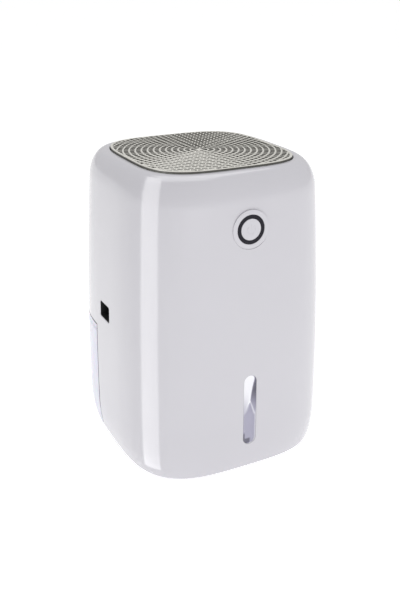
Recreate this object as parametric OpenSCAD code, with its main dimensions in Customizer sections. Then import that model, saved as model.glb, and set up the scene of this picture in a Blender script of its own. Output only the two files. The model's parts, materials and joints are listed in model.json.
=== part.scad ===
// A small desktop dehumidifier: a soft square casing with a round-patterned outlet grille on top,
// a push button and a level window in front, a power inlet on the left side, and a water tank
// that draws out backwards from under the cooler.
// Origin at the centre of the footprint on the floor, +Z up, the front towards -Y.

/* [Body] */
// Overall width of the casing at mid height
body_w = 152; // [140:1:200]
// Overall depth of the casing at mid height
body_d = 157; // [145:1:205]
// Overall height from the floor to the top of the grille
body_h = 220; // [205:1:290]
// Squareness of the plan: 2 is an ellipse, higher is squarer
squareness = 3.5; // [3:0.1:4.5]
// Wall of the casing
wall = 2.5; // [2:0.1:3]
// Inward lean of the sides, per millimetre of height
lean = 0.023; // [0:0.001:0.03]
// Belly of the sides, inward at the top and bottom
belly = 2.5; // [0:0.1:4]
// Inward reach of the top rounding
top_round = 10.5; // [8:0.5:13]
// Inward reach of the bottom rounding
bottom_round = 6; // [3:0.5:7]
// Height of the rubber feet below the casing
foot_h = 1.5; // [1:0.1:2.5]

/* [Grille] */
// Width of the border of plain casing around the grille
grille_border = 3.5; // [3:0.5:8]
// Distance between neighbouring rings of openings
ring_pitch = 4.4; // [4:0.1:7]
// Width of the bars between the openings
grille_bar = 1.3; // [1:0.1:1.6]
// Thickness of the patterned plate
grille_t = 2.5; // [2:0.1:3]
// Height that the plate stands above the casing
grille_proud = 1.5; // [0.5:0.1:2]

/* [Button and window] */
// Diameter of the push button
button_dia = 27.2; // [22:0.2:30]
// Travel of the push button
button_travel = 0.6; // [0.3:0.1:1]
// Distance from the top of the object down to the button's centre
button_drop = 39; // [38:1:48]
// Width of the level window
window_w = 10; // [7:0.5:14]
// Length of the level window
window_l = 53.5; // [30:0.5:56]
// Height of the window's centre above the floor
window_z = 48.75; // [46:0.25:50]

/* [Tank] */
// Height of the top of the tank lid above the floor
tank_top = 90; // [86:1:96]
// Height of the lid's outer band
lid_h = 4.5; // [4:0.5:7]
// Wall of the tank
tank_wall = 2.2; // [1.5:0.1:3]
// Where the tank's full-width part begins, behind the centre
tank_front = 18.9; // [15:0.5:26]
// Width of the tank's forward nose, which reaches the window
nose_w = 70; // [50:1:84]
// Travel of the tank when it is drawn out
tank_travel = 160; // [100:1:170]

/* [Power inlet] */
// Width of the opening for the power plug
inlet_w = 18; // [14:0.5:22]
// Height of the opening for the power plug
inlet_h = 12; // [11:0.5:14]
// Bore of the power socket
socket_bore = 6.3; // [5.5:0.1:7]
// Diameter of the socket's centre pin
pin_dia = 2; // [1.6:0.1:2.5]

/* [Cooler] */
// Width and height of the Peltier module
peltier_size = 40; // [30:1:40]
// Thickness of the Peltier module
peltier_t = 3.6; // [3:0.1:5]
// Width and height of the cold sink's finned part
cold_size = 60; // [50:1:64]
// Depth of the hot sink's fins
hot_fin_l = 40; // [25:1:44]
// Depth of the cold sink's fins
cold_fin_l = 26; // [15:1:28]
// Thickness of the fins
fin_t = 1; // [0.8:0.1:1.5]

/* [Fan] */
// Width of the square fan frame
fan_size = 92; // [80:1:92]
// Height of the fan frame
fan_t = 25; // [24:1:28]
// Diameter of the fan shaft
shaft_dia = 3; // [2.5:0.1:4]
// Number of fan blades
blade_count = 9; // [5:1:11]

/* [Hidden] */

// Clearances
fit_gap = 0.3;        // between pieces that sit in one another
slide_gap = 0.4;      // between the tank and the casing's edges
run_gap = 0.05;       // radial play of a running shaft
thread_gap = 0.05;    // radial play of a screw in its hole
pass_gap = 0.3;       // radial play where a screw only passes through

// Casing shape
sides = 72;                                  // points round the plan
casing_z0 = foot_h;
casing_top = body_h - grille_proud;
mid_z = casing_top / 2;
bottom_round_h = 30;                         // height of the bottom rounding
top_round_h = 20;                            // height of the top rounding
grille_squareness = squareness + 0.25;
grille_rim_h = 3.5;                          // height of the band under the plate
grille_seat = casing_top + grille_proud - grille_t - grille_rim_h;
ledge_t = 2;                                 // thickness of the ledge that the grille sits on
ledge_reach = 3.5;                           // how far the ledge reaches in under the grille
ceiling_z = grille_seat - ledge_t;

// How far the side stands in from the overall size at a height
function inset(z) = lean * (z - mid_z) + belly * pow((z - mid_z) / mid_z, 2)
    + (z < bottom_round_h ? bottom_round * (1 - sqrt(1 - pow(1 - z / bottom_round_h, 2))) : 0)
    + (z > casing_top - top_round_h ? top_round
        * (1 - sqrt(max(0, 1 - pow((z - casing_top + top_round_h) / top_round_h, 2)))) : 0);
function half_w(z, off) = body_w / 2 - inset(z) - off;
function half_d(z, off) = body_d / 2 - inset(z) - off;
// Depth of the surface at a place across the front or back
function surface_y(x, z, off) = half_d(z, off)
    * pow(1 - pow(abs(x) / half_w(z, off), squareness), 1 / squareness);
function surface_x(y, z, off) = half_w(z, off)
    * pow(1 - pow(abs(y) / half_d(z, off), squareness), 1 / squareness);
// A soft square outline, with flats across the middle of each side
function soft_square(a, b, n) = [for (i = [0:sides - 1]) let (t = 360 * (i + 0.5) / sides,
    c = cos(t), s = sin(t)) [a * sign(c) * pow(abs(c), 2 / n), b * sign(s) * pow(abs(s), 2 / n)]];

// Heights at which the casing's sides are drawn: both roundings in steps of angle, and the belly
bottom_levels = [for (t = [70:-14:0]) bottom_round_h * (1 - sin(t))];
top_levels = [for (t = [0:15:90]) casing_top - top_round_h + top_round_h * sin(t)];
belly_steps = 4;
belly_levels = [for (i = [1:belly_steps - 1]) bottom_round_h
    + (casing_top - top_round_h - bottom_round_h) * i / belly_steps];
all_levels = concat(bottom_levels, belly_levels, top_levels);
function levels(z0, z1) = concat([z0], [for (z = all_levels) if (z > z0 + 0.4 && z < z1 - 0.4) z],
    [z1]);

// Grille
grille_a = half_w(casing_top, 0) - grille_border;
grille_b = half_d(casing_top, 0) - grille_border;
grille_gap = 0.6;
grille_margin = 3;                           // plain border of the plate itself
ring_count = ceil(norm([grille_a, grille_b]) / ring_pitch);

// Tank and floor
base_t = 4.2;
base_top = casing_z0 + base_t;
tank_z0 = base_top + fit_gap;
lid_z0 = tank_top - lid_h;
casing_edge_y = tank_front - slide_gap;
casing_edge_z = tank_top + slide_gap - 0.1;
lid_t = 2;
nose_gap = 5.2;                              // from the casing's front wall to the nose
nose_y0 = -half_d(window_z, wall) + nose_gap;
nose_r = 6;
grip_w = 46;
grip_h = 18;
grip_depth = 11;
grip_z = 58;                                 // centre of the finger grip at the back
drip_y = 44;                                 // where the drips fall, behind the centre
drip_hole_r = 9;

// Float: its pin lies along X in a bracket under the lid
float_x = 0.47 * body_w - 19.44;
float_y = 34;
float_z = tank_top - 14;
float_pin_r = 1.25;
float_w = 14;
float_reach = 20;                            // from the pin to the middle of the float
float_l = 18;
float_h = 9;
bracket_t = 2;
bracket_gap = 0.5;

// Shelf above the tank, which is also the drip tray
shelf_z0 = tank_top + 3;
shelf_t = 2.5;
shelf_top = shelf_z0 + shelf_t;
spout_r = 6;
spout_bore = 4.5;
pan_h = 6;
pan_t = 1.6;

// Rear cover
cover_w = 110;
cover_t = 2.2;
cover_z0 = tank_top + 2;
cover_z1 = casing_top - 12.5;
cover_r = 5;
cover_ledge = 8;                             // how far the casing's ledge reaches in behind it
ledge_out = 3;                               // and how far it reaches out under the casing's wall
ledge_depth = 2.2;
slot_w = 2.6;
slot_l = 24;
slot_pitch = 7;
slot_rows = 3;
slot_columns = 13;
rear_screw_in = 5;                           // from the cover's edge to a screw

// Fan
fan_z1 = casing_top - 9.5;
fan_z0 = fan_z1 - fan_t;
fan_plate_t = 2.5;
fan_plate_z1 = fan_z0 - 0.5;
fan_plate_z0 = fan_plate_z1 - fan_plate_t;
fan_bore_r = fan_size / 2 - 1.7;
fan_hole_pitch = fan_size - 9.5;
fan_hub_r = 18;
hub_wall = 2.4;
blade_gap = 1.3;

// Cooler
sink_base_t = 5;
hot_y0 = -22;                                // tips of the hot fins
hot_base_y0 = hot_y0 + hot_fin_l;
hot_base_y1 = hot_base_y0 + sink_base_t;
cold_base_y0 = hot_base_y1 + peltier_t;
cold_base_y1 = cold_base_y0 + sink_base_t;
cold_y1 = cold_base_y1 + cold_fin_l;
hot_z0 = shelf_top + 4.5;
hot_z1 = fan_plate_z0 - 5;
cooler_z = (hot_z0 + hot_z1) / 2;
cold_tab = 7;                                // side tabs of the cold sink, which take the screws
clamp_x = cold_size / 2 + cold_tab / 2;
clamp_r = 1.5;

// Power inlet and the duct beside it
inlet_y = 1.5;
inlet_z = tank_top + 17;
recess_t = 1.5;
recess_depth = 8;                            // from the casing's inner face to the socket
socket_l = 13;
inlet_wall_x = -surface_x(inlet_y, inlet_z, wall);
socket_x0 = inlet_wall_x + recess_depth;
socket_x1 = socket_x0 + socket_l;
duct_t = 2;
duct_half = -socket_x1 - 1.5;                // outer half width of the duct
duct_y0 = hot_y0 - 4;
duct_y1 = min(surface_y(duct_half, cooler_z, wall) - 6,
    surface_y(duct_half, fan_plate_z0, wall) - 4);
duct_z0 = hot_z0;
duct_z1 = fan_plate_z0 - 0.5;
hot_half = duct_half - duct_t - 3;

// Control board in front of the duct
board_t = 1.6;
board_half = 50;
board_z0 = tank_top + 15;
board_z1 = board_z0 + 60;
boss_l = 12;
board_y = duct_y0 - boss_l;                  // back face of the board
board_face = board_y - board_t;
board_screw_in = 4;

// Button, measured back from the casing's front face
button_z = body_h - button_drop;
button_r = button_dia / 2;
front_y = -half_d(button_z, 0);
cap_y0 = front_y - 0.4;
cap_t = 3.2;
cap_hole_gap = 0.3;
stem_r = button_r - 1.5;
stem_l = 6;
guide_y0 = cap_y0 + cap_t + button_travel + 0.5;
guide_l = 4.5;
guide_r = button_r + 3.4;
ring_r1 = button_r * 0.75;
ring_r0 = button_r * 0.55;
ring_depth = 0.8;
plunger_r = 1.7;
plunger_l = 3;
switch_y0 = cap_y0 + cap_t + stem_l + 1.5;
switch_t = 3.5;
button_board_y0 = switch_y0 + switch_t;
button_board_half = 13;

// Level window
window_y0 = -half_d(window_z, 0) + 0.7;
window_t = 3;
window_flange = 2.5;
window_flange_y = -half_d(window_z - window_l / 2 - window_flange, wall) + 0.3;
window_flange_t = 1.2;

// Screw posts that hold the base, as [x, y] on the right side
posts = [[53, -52], [62, 8]];
post_r = 4;
post_h = 22;
base_screw_r = 1.5;
feet = [[42, -46], [50, 50]];
foot_r = 7;
foot_sunk = 1.2;

// Internal leads: each route is a list of points
lead_r = 1.1;
power_lead_r = 1.5;
fan_route = [[-32, -46.2, 190], [-32, -50, 189], [-32, -52, 184], [-32, -52, 178],
    [-32, -49, 170], [-32, -43.5, 165.5], [-32, -42.6, 161.3]];
button_route = [[10, -57, 168.8], [10, -56, 166], [10, -52, 164.5], [10, -47, 166],
    [10, -43, 164.5], [10, -42.6, 161.2]];
peltier_route = [[6, 24.8, 117.8], [6, 24.8, 103], [6, 24.4, 99.5], [6, 20, 97.6], [6, 0, 97.8],
    [6, -26, 97.8], [6, -38, 98.5], [6, -42.4, 102], [6, -42.6, 106.8]];
sensor_x = float_x + 7;
sensor_route = [[sensor_x, 43.9, 98], [sensor_x, 25, 98], [sensor_x, 0, 98], [sensor_x, -24, 101],
    [sensor_x - 2, -37, 107], [53, -42, 110.8], [48.4, -42.6, 111]];
power_x = socket_x1 - 5.45;
power_route = [[power_x, -8.1, 107], [power_x, -18, 107], [power_x, -28, 107.5],
    [power_x + 2, -37, 109], [-52.5, -42, 110.8], [-48.5, -42.6, 111]];

// ---------- shared shapes ----------

// A solid with the casing's sides between two heights, moved in by off
module body_solid(z0, z1, off) {
    zs = levels(z0, z1);
    n = len(zs);
    pts = [for (z = zs) for (p = soft_square(half_w(z, off), half_d(z, off), squareness))
        [p[0], p[1], z]];
    walls = [for (k = [0:n - 2]) for (i = [0:sides - 1]) let (j = (i + 1) % sides, b = k * sides,
        t = b + sides) each [[b + i, t + i, t + j], [b + i, t + j, b + j]]];
    polyhedron(points = pts, faces = concat([[for (i = [0:sides - 1]) i]], walls,
        [[for (i = [sides - 1:-1:0]) (n - 1) * sides + i]]));
}

// A curved shell between two heights and two depths below the outside
module body_shell(z0, z1, off0, off1) {
    difference() {
        body_solid(z0, z1, off0);
        body_solid(z0 - 0.5, z1 + 0.5, off1);
    }
}

// Joins smooth sculpted pieces into one skin
module one_skin() {
    resize([0, 0, 0]) children();
}

// A box given by its two corners
module block(x0, x1, y0, y1, z0, z1) {
    translate([x0, y0, z0]) cube([x1 - x0, y1 - y0, z1 - z0]);
}

// A flat rectangle with round corners, centred
module round_rect(w, h, r) {
    square([w - 2 * r, h], center = true);
    square([w, h - 2 * r], center = true);
    for (x = [-1, 1], y = [-1, 1]) translate([x * (w / 2 - r), y * (h / 2 - r)]) circle(r, $fn = 32);
}

// The same as a list of points
function round_points(w, h, r, steps) = [for (q = [0:3]) for (i = [0:steps]) let (
    t = 90 * q + 90 * i / steps, sx = q == 0 || q == 3 ? 1 : -1, sy = q < 2 ? 1 : -1)
    [sx * (w / 2 - r) + r * cos(t), sy * (h / 2 - r) + r * sin(t)]];

// Stands a flat shape in the XZ plane and gives it depth along Y from y0 to y1
module along_y(y0, y1) {
    translate([0, y1, 0]) rotate([90, 0, 0]) linear_extrude(y1 - y0) children();
}

// A cylinder along Y from y0 to y1
module y_rod(x, z, r, y0, y1) {
    translate([x, y1, z]) rotate([90, 0, 0]) cylinder(h = y1 - y0, r = r, $fn = 64);
}

// A cylinder along X from x0 to x1
module x_rod(y, z, r, x0, x1) {
    translate([x0, y, z]) rotate([0, 90, 0]) cylinder(h = x1 - x0, r = r, $fn = 64);
}

// A cylinder along Z from z0 to z1
module z_rod(x, y, r, z0, z1) {
    translate([x, y, z0]) cylinder(h = z1 - z0, r = r, $fn = 64);
}

// A screw that points down from its head, with a cross recess
module screw(r, l, head_r, head_h) {
    difference() {
        union() {
            cylinder(h = head_h, r = head_r, $fn = 48);
            translate([0, 0, -l]) cylinder(h = l + 0.5, r = r, $fn = 48);
        }
        for (a = [0, 90]) rotate(a) translate([0, 0, head_h]) cube([head_r * 1.2, 0.7, 1.6], center = true);
    }
}

// A smooth curve through the points of a route
function curve_at(p0, p1, p2, p3, t) = 0.5 * (2 * p1 + (p2 - p0) * t
    + (2 * p0 - 5 * p1 + 4 * p2 - p3) * t * t + (3 * p1 - p0 - 3 * p2 + p3) * t * t * t);
function smooth_route(p, steps) = let (n = len(p)) [for (i = [0:n - 2]) for (k = [0:steps - 1])
    curve_at(p[max(i - 1, 0)], p[i], p[i + 1], p[min(i + 2, n - 1)], k / steps), p[n - 1]];
function unit(v) = v / norm(v);

// A round lead swept along a route; the side vector never lies along the route
module lead(route, r, side) {
    path = smooth_route(route, 2);
    n = len(path);
    faces_round = 8;
    pts = [for (i = [0:n - 1]) let (t = unit(path[min(i + 1, n - 1)] - path[max(i - 1, 0)]),
        u = unit(cross(t, side)), v = cross(t, u)) for (k = [0:faces_round - 1])
        path[i] + r * (cos(360 * k / faces_round) * u + sin(360 * k / faces_round) * v)];
    walls = [for (i = [0:n - 2]) for (k = [0:faces_round - 1]) let (m = (k + 1) % faces_round,
        b = i * faces_round, t = b + faces_round) each [[b + k, t + k, t + m], [b + k, t + m, b + m]]];
    polyhedron(points = pts, faces = concat([[for (k = [0:faces_round - 1]) k]], walls,
        [[for (k = [faces_round - 1:-1:0]) (n - 1) * faces_round + k]]));
}

// A finned sink's cross-section: a base from y0 to y1 and fins on to y2
function fin_profile(half, y0, y1, y2, count) = let (edge = 1, step = (2 * (half - edge) - fin_t)
    / (count - 1)) concat([[-half, y0], [-half, y1]], [for (i = [0:count - 1]) let (
    x = -half + edge + i * step) each [[x, y1], [x, y2], [x + fin_t, y2], [x + fin_t, y1]]],
    [[half, y1], [half, y0]]);

// A flat outline that fits inside the casing at a height, and clears the ledge behind the cover
module inner_outline(z) {
    difference() {
        polygon(soft_square(half_w(z, wall + fit_gap), half_d(z, wall + fit_gap), squareness));
        difference() {
            translate([-cover_w / 2 - ledge_out - 1, 0]) square([cover_w + 2 * ledge_out + 2, body_d]);
            polygon(soft_square(half_w(z, wall + ledge_depth + fit_gap),
                half_d(z, wall + ledge_depth + fit_gap), squareness));
        }
    }
}

// ---------- casing ----------

module cover_outline(grow) {
    translate([0, (cover_z0 + cover_z1) / 2])
        polygon(round_points(cover_w + 2 * grow, cover_z1 - cover_z0 + 2 * grow,
            max(cover_r + grow, 1), 6));
}

module window_outline(grow) {
    translate([0, window_z]) polygon(round_points(window_w + 2 * grow, window_l + 2 * grow,
        window_w / 2 + grow, 6));
}

module casing() {
    far = body_d;
    color([0.87, 0.87, 0.89]) one_skin() difference() {
        union() {
            difference() {
                body_solid(casing_z0, casing_top, 0);
                body_solid(casing_z0 - 1, ceiling_z, wall);
                // seat for the grille and the way through under it
                translate([0, 0, grille_seat]) linear_extrude(20)
                    polygon(soft_square(grille_a + grille_gap, grille_b + grille_gap, grille_squareness));
                translate([0, 0, ceiling_z - 1]) linear_extrude(20)
                    polygon(soft_square(grille_a - ledge_reach, grille_b - ledge_reach,
                        grille_squareness));
                along_y(0, far) cover_outline(0);
            }
            // ledge behind the rear cover
            intersection() {
                body_shell(cover_z0 - 4, cover_z1 + 4, wall - 0.1, wall + ledge_depth);
                difference() {
                    along_y(0, far) cover_outline(ledge_out);
                    along_y(-1, far) cover_outline(-cover_ledge);
                }
            }
            // posts for the base screws, tied to the side walls
            intersection() {
                body_solid(casing_z0, casing_top, wall / 2);
                for (p = posts, s = [-1, 1]) {
                    translate([s * p[0], p[1], base_top]) cylinder(h = post_h, r = post_r, $fn = 24);
                    block(min(s * p[0], s * body_w / 2), max(s * p[0], s * body_w / 2),
                        p[1] - 1.2, p[1] + 1.2, base_top, base_top + post_h);
                }
            }
        }
        // the tank's bay
        block(-body_w, body_w, casing_edge_y, far, -1, casing_edge_z);
        // the button's hole
        translate([0, -20, button_z]) rotate([90, 0, 0])
            cylinder(h = far, r = button_r + cap_hole_gap, $fn = 64);
        // the level window's slot
        along_y(-far, -20) window_outline(0);
        // the power inlet's opening
        translate([0, inlet_y, inlet_z]) rotate([90, 0, -90]) linear_extrude(far)
            polygon(round_points(inlet_w, inlet_h, 1.5, 4));
        // screw holes
        for (p = posts, s = [-1, 1]) translate([s * p[0], p[1], 0])
            cylinder(h = 18, r = base_screw_r + thread_gap + 0.05, $fn = 24);
        for (p = rear_screw_places()) translate([p[0], far, p[1]]) rotate([90, 0, 0])
            cylinder(h = far, r = 1.3, $fn = 16);
    }
}

function rear_screw_places() = [for (x = [-1, 1], z = [cover_z0 + rear_screw_in,
    cover_z1 - rear_screw_in]) [x * (cover_w / 2 - rear_screw_in), z]];

module rear_cover() {
    slot_z0 = (cover_z0 + cover_z1) / 2 - (slot_rows - 1) * (slot_l + 5) / 2;
    color([0.85, 0.85, 0.87]) one_skin() difference() {
        intersection() {
            body_shell(cover_z0 - 4, cover_z1 + 4, 0, cover_t);
            along_y(0, body_d) cover_outline(-fit_gap);
        }
        for (r = [0:slot_rows - 1], c = [0:slot_columns - 1])
            translate([(c - (slot_columns - 1) / 2) * slot_pitch, 0, slot_z0 + r * (slot_l + 5)])
                along_y(0, body_d) polygon(round_points(slot_w, slot_l, slot_w / 2, 2));
        for (p = rear_screw_places()) {
            translate([p[0], body_d, p[1]]) rotate([90, 0, 0]) cylinder(h = body_d, r = 1.6, $fn = 20);
            translate([p[0], surface_y(p[0], p[1], 0) + 8, p[1]]) rotate([90, 0, 0])
                cylinder(h = 9.2, r = 3, $fn = 24);
        }
    }
}

module rear_screws() {
    color([0.35, 0.35, 0.37]) for (p = rear_screw_places())
        translate([p[0], surface_y(p[0], p[1], 0) - 1.15, p[1]]) rotate([-90, 0, 0])
            screw(1.2, 6, 2.6, 1.5);
}

// ---------- grille ----------

// One opening: a piece of ring number k
function cell(k, i) = let (r0 = k * ring_pitch - (ring_pitch - grille_bar) / 2,
    r1 = r0 + ring_pitch - grille_bar, step = 60 / k, mid = (i + (k % 2) / 2) * step,
    bar = grille_bar * 90 / (PI * k * ring_pitch), a0 = mid - step / 2 + bar, a1 = mid + step / 2 - bar)
    [[r0 * cos(a0), r0 * sin(a0)], [r1 * cos(a0), r1 * sin(a0)], [r1 * cos(a1), r1 * sin(a1)],
    [r0 * cos(a1), r0 * sin(a1)]];
function inside_grille(p) = pow(abs(p[0]) / (grille_a - grille_margin), grille_squareness)
    + pow(abs(p[1]) / (grille_b - grille_margin), grille_squareness) < 1;
cells = [for (k = [1:ring_count]) for (i = [0:6 * k - 1]) let (c = cell(k, i))
    if (min([for (p = c) inside_grille(p) ? 1 : 0]) == 1) c];

module top_grille() {
    color([0.72, 0.71, 0.68]) translate([0, 0, body_h - grille_t]) linear_extrude(grille_t) difference() {
        polygon(soft_square(grille_a, grille_b, grille_squareness));
        for (c = cells) polygon(c);
    }
}

module grille_rim() {
    color([0.3, 0.3, 0.28]) translate([0, 0, grille_seat]) linear_extrude(grille_rim_h) difference() {
        polygon(soft_square(grille_a, grille_b, grille_squareness));
        polygon(soft_square(grille_a - 2, grille_b - 2, grille_squareness));
    }
}

// ---------- base ----------

module base_plate() {
    color([0.82, 0.82, 0.84]) one_skin() difference() {
        union() {
            intersection() {
                body_solid(casing_z0, base_top, 0);
                block(-body_w, body_w, tank_front, body_d, -1, base_top + 1);
            }
            intersection() {
                body_solid(casing_z0, base_top, wall + fit_gap);
                block(-body_w, body_w, -body_d, tank_front + 1, -1, base_top + 1);
            }
        }
        for (f = feet, s = [-1, 1]) translate([s * f[0], f[1], 0])
            cylinder(h = casing_z0 + foot_sunk, r = foot_r + 0.15, $fn = 32);
        for (p = posts, s = [-1, 1]) translate([s * p[0], p[1], 0]) {
            cylinder(h = 20, r = base_screw_r + pass_gap, $fn = 24);
            cylinder(h = casing_z0 + 2, r = 3.2, $fn = 24);
        }
    }
}

module rubber_feet() {
    color([0.2, 0.2, 0.21]) for (f = feet, s = [-1, 1])
        z_rod(s * f[0], f[1], foot_r, 0, casing_z0 + foot_sunk);
}

module base_screws() {
    color([0.35, 0.35, 0.37]) for (p = posts, s = [-1, 1])
        translate([s * p[0], p[1], casing_z0 + 2]) rotate([180, 0, 0]) screw(base_screw_r, 13, 2.8, 1.6);
}

// ---------- push button ----------

module power_button() {
    color([0.88, 0.88, 0.9]) difference() {
        union() {
            y_rod(0, button_z, button_r, cap_y0, cap_y0 + cap_t);
            y_rod(0, button_z, stem_r, cap_y0 + cap_t - 0.5, cap_y0 + cap_t + stem_l);
        }
        difference() {
            y_rod(0, button_z, ring_r1 + 0.05, cap_y0 - 1, cap_y0 + ring_depth);
            y_rod(0, button_z, ring_r0 - 0.05, cap_y0 - 1, cap_y0 + ring_depth + 1);
        }
        y_rod(0, button_z, stem_r - 1.6, cap_y0 + cap_t, cap_y0 + cap_t + stem_l + 1);
    }
}

module button_ring() {
    color([0.18, 0.17, 0.2]) difference() {
        y_rod(0, button_z, ring_r1, cap_y0, cap_y0 + ring_depth);
        y_rod(0, button_z, ring_r0, cap_y0 - 1, cap_y0 + ring_depth + 1);
    }
}

module switch_plunger() {
    end_y = switch_y0 + plunger_l - 1.2;
    color([0.15, 0.15, 0.16]) y_rod(0, button_z, plunger_r, cap_y0 + cap_t, end_y);
}

module button_guide() {
    color([0.8, 0.8, 0.82]) difference() {
        y_rod(0, button_z, guide_r, guide_y0, guide_y0 + guide_l);
        y_rod(0, button_z, stem_r + 0.08, guide_y0 - 1, guide_y0 + guide_l + 1);
    }
}

module tact_switch() {
    color([0.25, 0.25, 0.26]) difference() {
        block(-3, 3, switch_y0, switch_y0 + switch_t, button_z - 3, button_z + 3);
        y_rod(0, button_z, plunger_r + 0.1, switch_y0 - 1, switch_y0 + plunger_l);
    }
}

module button_board() {
    color([0.1, 0.35, 0.2]) block(-button_board_half, button_board_half, button_board_y0,
        button_board_y0 + board_t, button_z - button_board_half, button_z + button_board_half);
    color([0.9, 0.88, 0.8]) block(7, 13, button_board_y0 + board_t, button_board_y0 + board_t + 4.5,
        button_z - 12, button_z - 7);
}

module status_leds() {
    color([0.9, 0.95, 1]) for (s = [-1, 1])
        block(s * 8.5 - 1.2, s * 8.5 + 1.2, button_board_y0 - 0.9, button_board_y0, button_z - 1.2,
            button_z + 1.2);
}

// ---------- level window ----------

module level_window() {
    color([0.75, 0.74, 0.82]) {
        along_y(window_y0, window_flange_y + 0.01) window_outline(-0.15);
        along_y(window_flange_y, window_flange_y + window_flange_t) window_outline(window_flange);
    }
}

// ---------- power inlet ----------

module socket_recess() {
    color([0.08, 0.08, 0.09]) difference() {
        block(inlet_wall_x + 0.3, socket_x0 + 4, inlet_y - inlet_w / 2 - recess_t,
            inlet_y + inlet_w / 2 + recess_t, inlet_z - inlet_h / 2 - recess_t,
            inlet_z + inlet_h / 2 + recess_t);
        block(inlet_wall_x - 1, socket_x0, inlet_y - inlet_w / 2, inlet_y + inlet_w / 2,
            inlet_z - inlet_h / 2, inlet_z + inlet_h / 2);
        block(socket_x0 - 1, socket_x0 + 5, inlet_y - 5.1, inlet_y + 5.1, inlet_z - 5.1, inlet_z + 5.1);
    }
}

module dc_socket() {
    color([0.1, 0.1, 0.11]) difference() {
        union() {
            block(socket_x0, socket_x1, inlet_y - 5, inlet_y + 5, inlet_z - 5, inlet_z + 5);
            block(socket_x1 - 8, socket_x1, inlet_y - 9.5, inlet_y - 5, inlet_z - 3, inlet_z + 3);
        }
        x_rod(inlet_y, inlet_z, socket_bore / 2, socket_x0 - 1, socket_x0 + 10);
        x_rod(inlet_y, inlet_z, pin_dia / 2 - 0.25, socket_x0 + 9, socket_x0 + 11.5);
    }
}

// The contact pin, with a slimmer root in the back of the socket
module dc_pin() {
    color([0.75, 0.72, 0.65]) union() {
        x_rod(inlet_y, inlet_z, pin_dia / 2, socket_x0 + 0.8, socket_x0 + 9);
        x_rod(inlet_y, inlet_z, pin_dia / 2 - 0.25, socket_x0 + 8, socket_x0 + 11.5);
    }
}

// ---------- water tank ----------

// The tank's plan between two heights, moved in by off
module tank_solid(z0, z1, off) {
    intersection() {
        body_solid(z0, z1, off);
        block(-body_w, body_w, tank_front + off, body_d, z0 - 1, z1 + 1);
    }
    translate([0, (nose_y0 + tank_front) / 2 + nose_r, z0]) linear_extrude(z1 - z0)
        polygon(round_points(nose_w - 2 * off, tank_front - nose_y0 + 2 * nose_r - 2 * off,
            nose_r - off, 5));
}

module grip(off) {
    back = half_d(grip_z, 0);
    block(-grip_w / 2 - off, grip_w / 2 + off, back - grip_depth - off, back + 10,
        grip_z - grip_h / 2 - off, grip_z + grip_h / 2 + off);
}

module water_tank() {
    color([0.87, 0.87, 0.94]) one_skin() difference() {
        tank_solid(tank_z0, lid_z0, 0);
        difference() {
            tank_solid(tank_z0 + tank_wall, lid_z0 + 1, tank_wall);
            grip(tank_wall);
        }
        grip(0);
    }
}

module tank_lid() {
    color([0.84, 0.84, 0.9]) one_skin() difference() {
        tank_solid(lid_z0 + 0.15, tank_top, 0);
        tank_solid(lid_z0 - 1, tank_top - lid_t, tank_wall);
        translate([0, drip_y, lid_z0]) cylinder(h = lid_h + 1, r = drip_hole_r, $fn = 40);
    }
}

module float_bracket() {
    top = tank_top - lid_t - 0.05;
    half = float_w / 2 + bracket_gap;
    color([0.8, 0.8, 0.84]) difference() {
        union() {
            block(float_x - half - bracket_t, float_x + half + bracket_t, float_y - 4, float_y + 4,
                top - bracket_t, top);
            for (s = [-1, 1]) translate([float_x + s * (half + bracket_t / 2), 0, 0])
                block(-bracket_t / 2, bracket_t / 2, float_y - 3, float_y + 3, float_z - 3, top - 0.5);
        }
        x_rod(float_y, float_z, float_pin_r + 0.02, float_x - 20, float_x + 20);
    }
}

module float_pin() {
    half = float_w / 2 + bracket_gap + bracket_t;
    color([0.7, 0.7, 0.72]) x_rod(float_y, float_z, float_pin_r, float_x - half, float_x + half);
}

module tank_float() {
    color([0.95, 0.93, 0.85]) difference() {
        union() {
            x_rod(float_y, float_z, 2.6, float_x - float_w / 2, float_x + float_w / 2);
            block(float_x - 3, float_x + 3, float_y, float_y + float_reach, float_z - 2.4, float_z);
            block(float_x - float_w / 2, float_x + float_w / 2, float_y + float_reach - float_l / 2,
                float_y + float_reach + float_l / 2, float_z - float_h, float_z);
        }
        x_rod(float_y, float_z, float_pin_r + run_gap, float_x - 20, float_x + 20);
        z_rod(float_x, float_y + float_reach, 3.1, float_z - 3.2, float_z + 1);
    }
}

module float_magnet() {
    color([0.55, 0.55, 0.58]) z_rod(float_x, float_y + float_reach, 3, float_z - 3.1, float_z - 0.1);
}

// ---------- shelf and cooler ----------

module drip_tray() {
    pan_x = duct_half - duct_t - 1.5;
    pan_y0 = hot_base_y1 + 0.4;
    pan_y1 = duct_y1 - 2;
    color([0.8, 0.8, 0.82]) difference() {
        union() {
            translate([0, 0, shelf_z0]) linear_extrude(shelf_t) inner_outline(shelf_z0);
            z_rod(0, drip_y, spout_r, tank_top + 1, shelf_z0 + 1);
            difference() {
                block(-pan_x, pan_x, pan_y0, pan_y1, shelf_top - 0.5, shelf_top + pan_h);
                block(-pan_x + pan_t, pan_x - pan_t, pan_y0 + pan_t, pan_y1 - pan_t, shelf_top - 1,
                    shelf_top + pan_h + 1);
                // gap for the module's wires
                block(-9, 9, pan_y0 - 1, pan_y0 + pan_t + 1, shelf_top, shelf_top + pan_h + 1);
            }
        }
        z_rod(0, drip_y, spout_bore, tank_top, shelf_top + 1);
    }
}

module level_sensor() {
    color([0.12, 0.12, 0.13]) block(float_x + 0.5, float_x + 8.5, float_y + 10, float_y + 22,
        shelf_top, shelf_top + 5);
}

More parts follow.
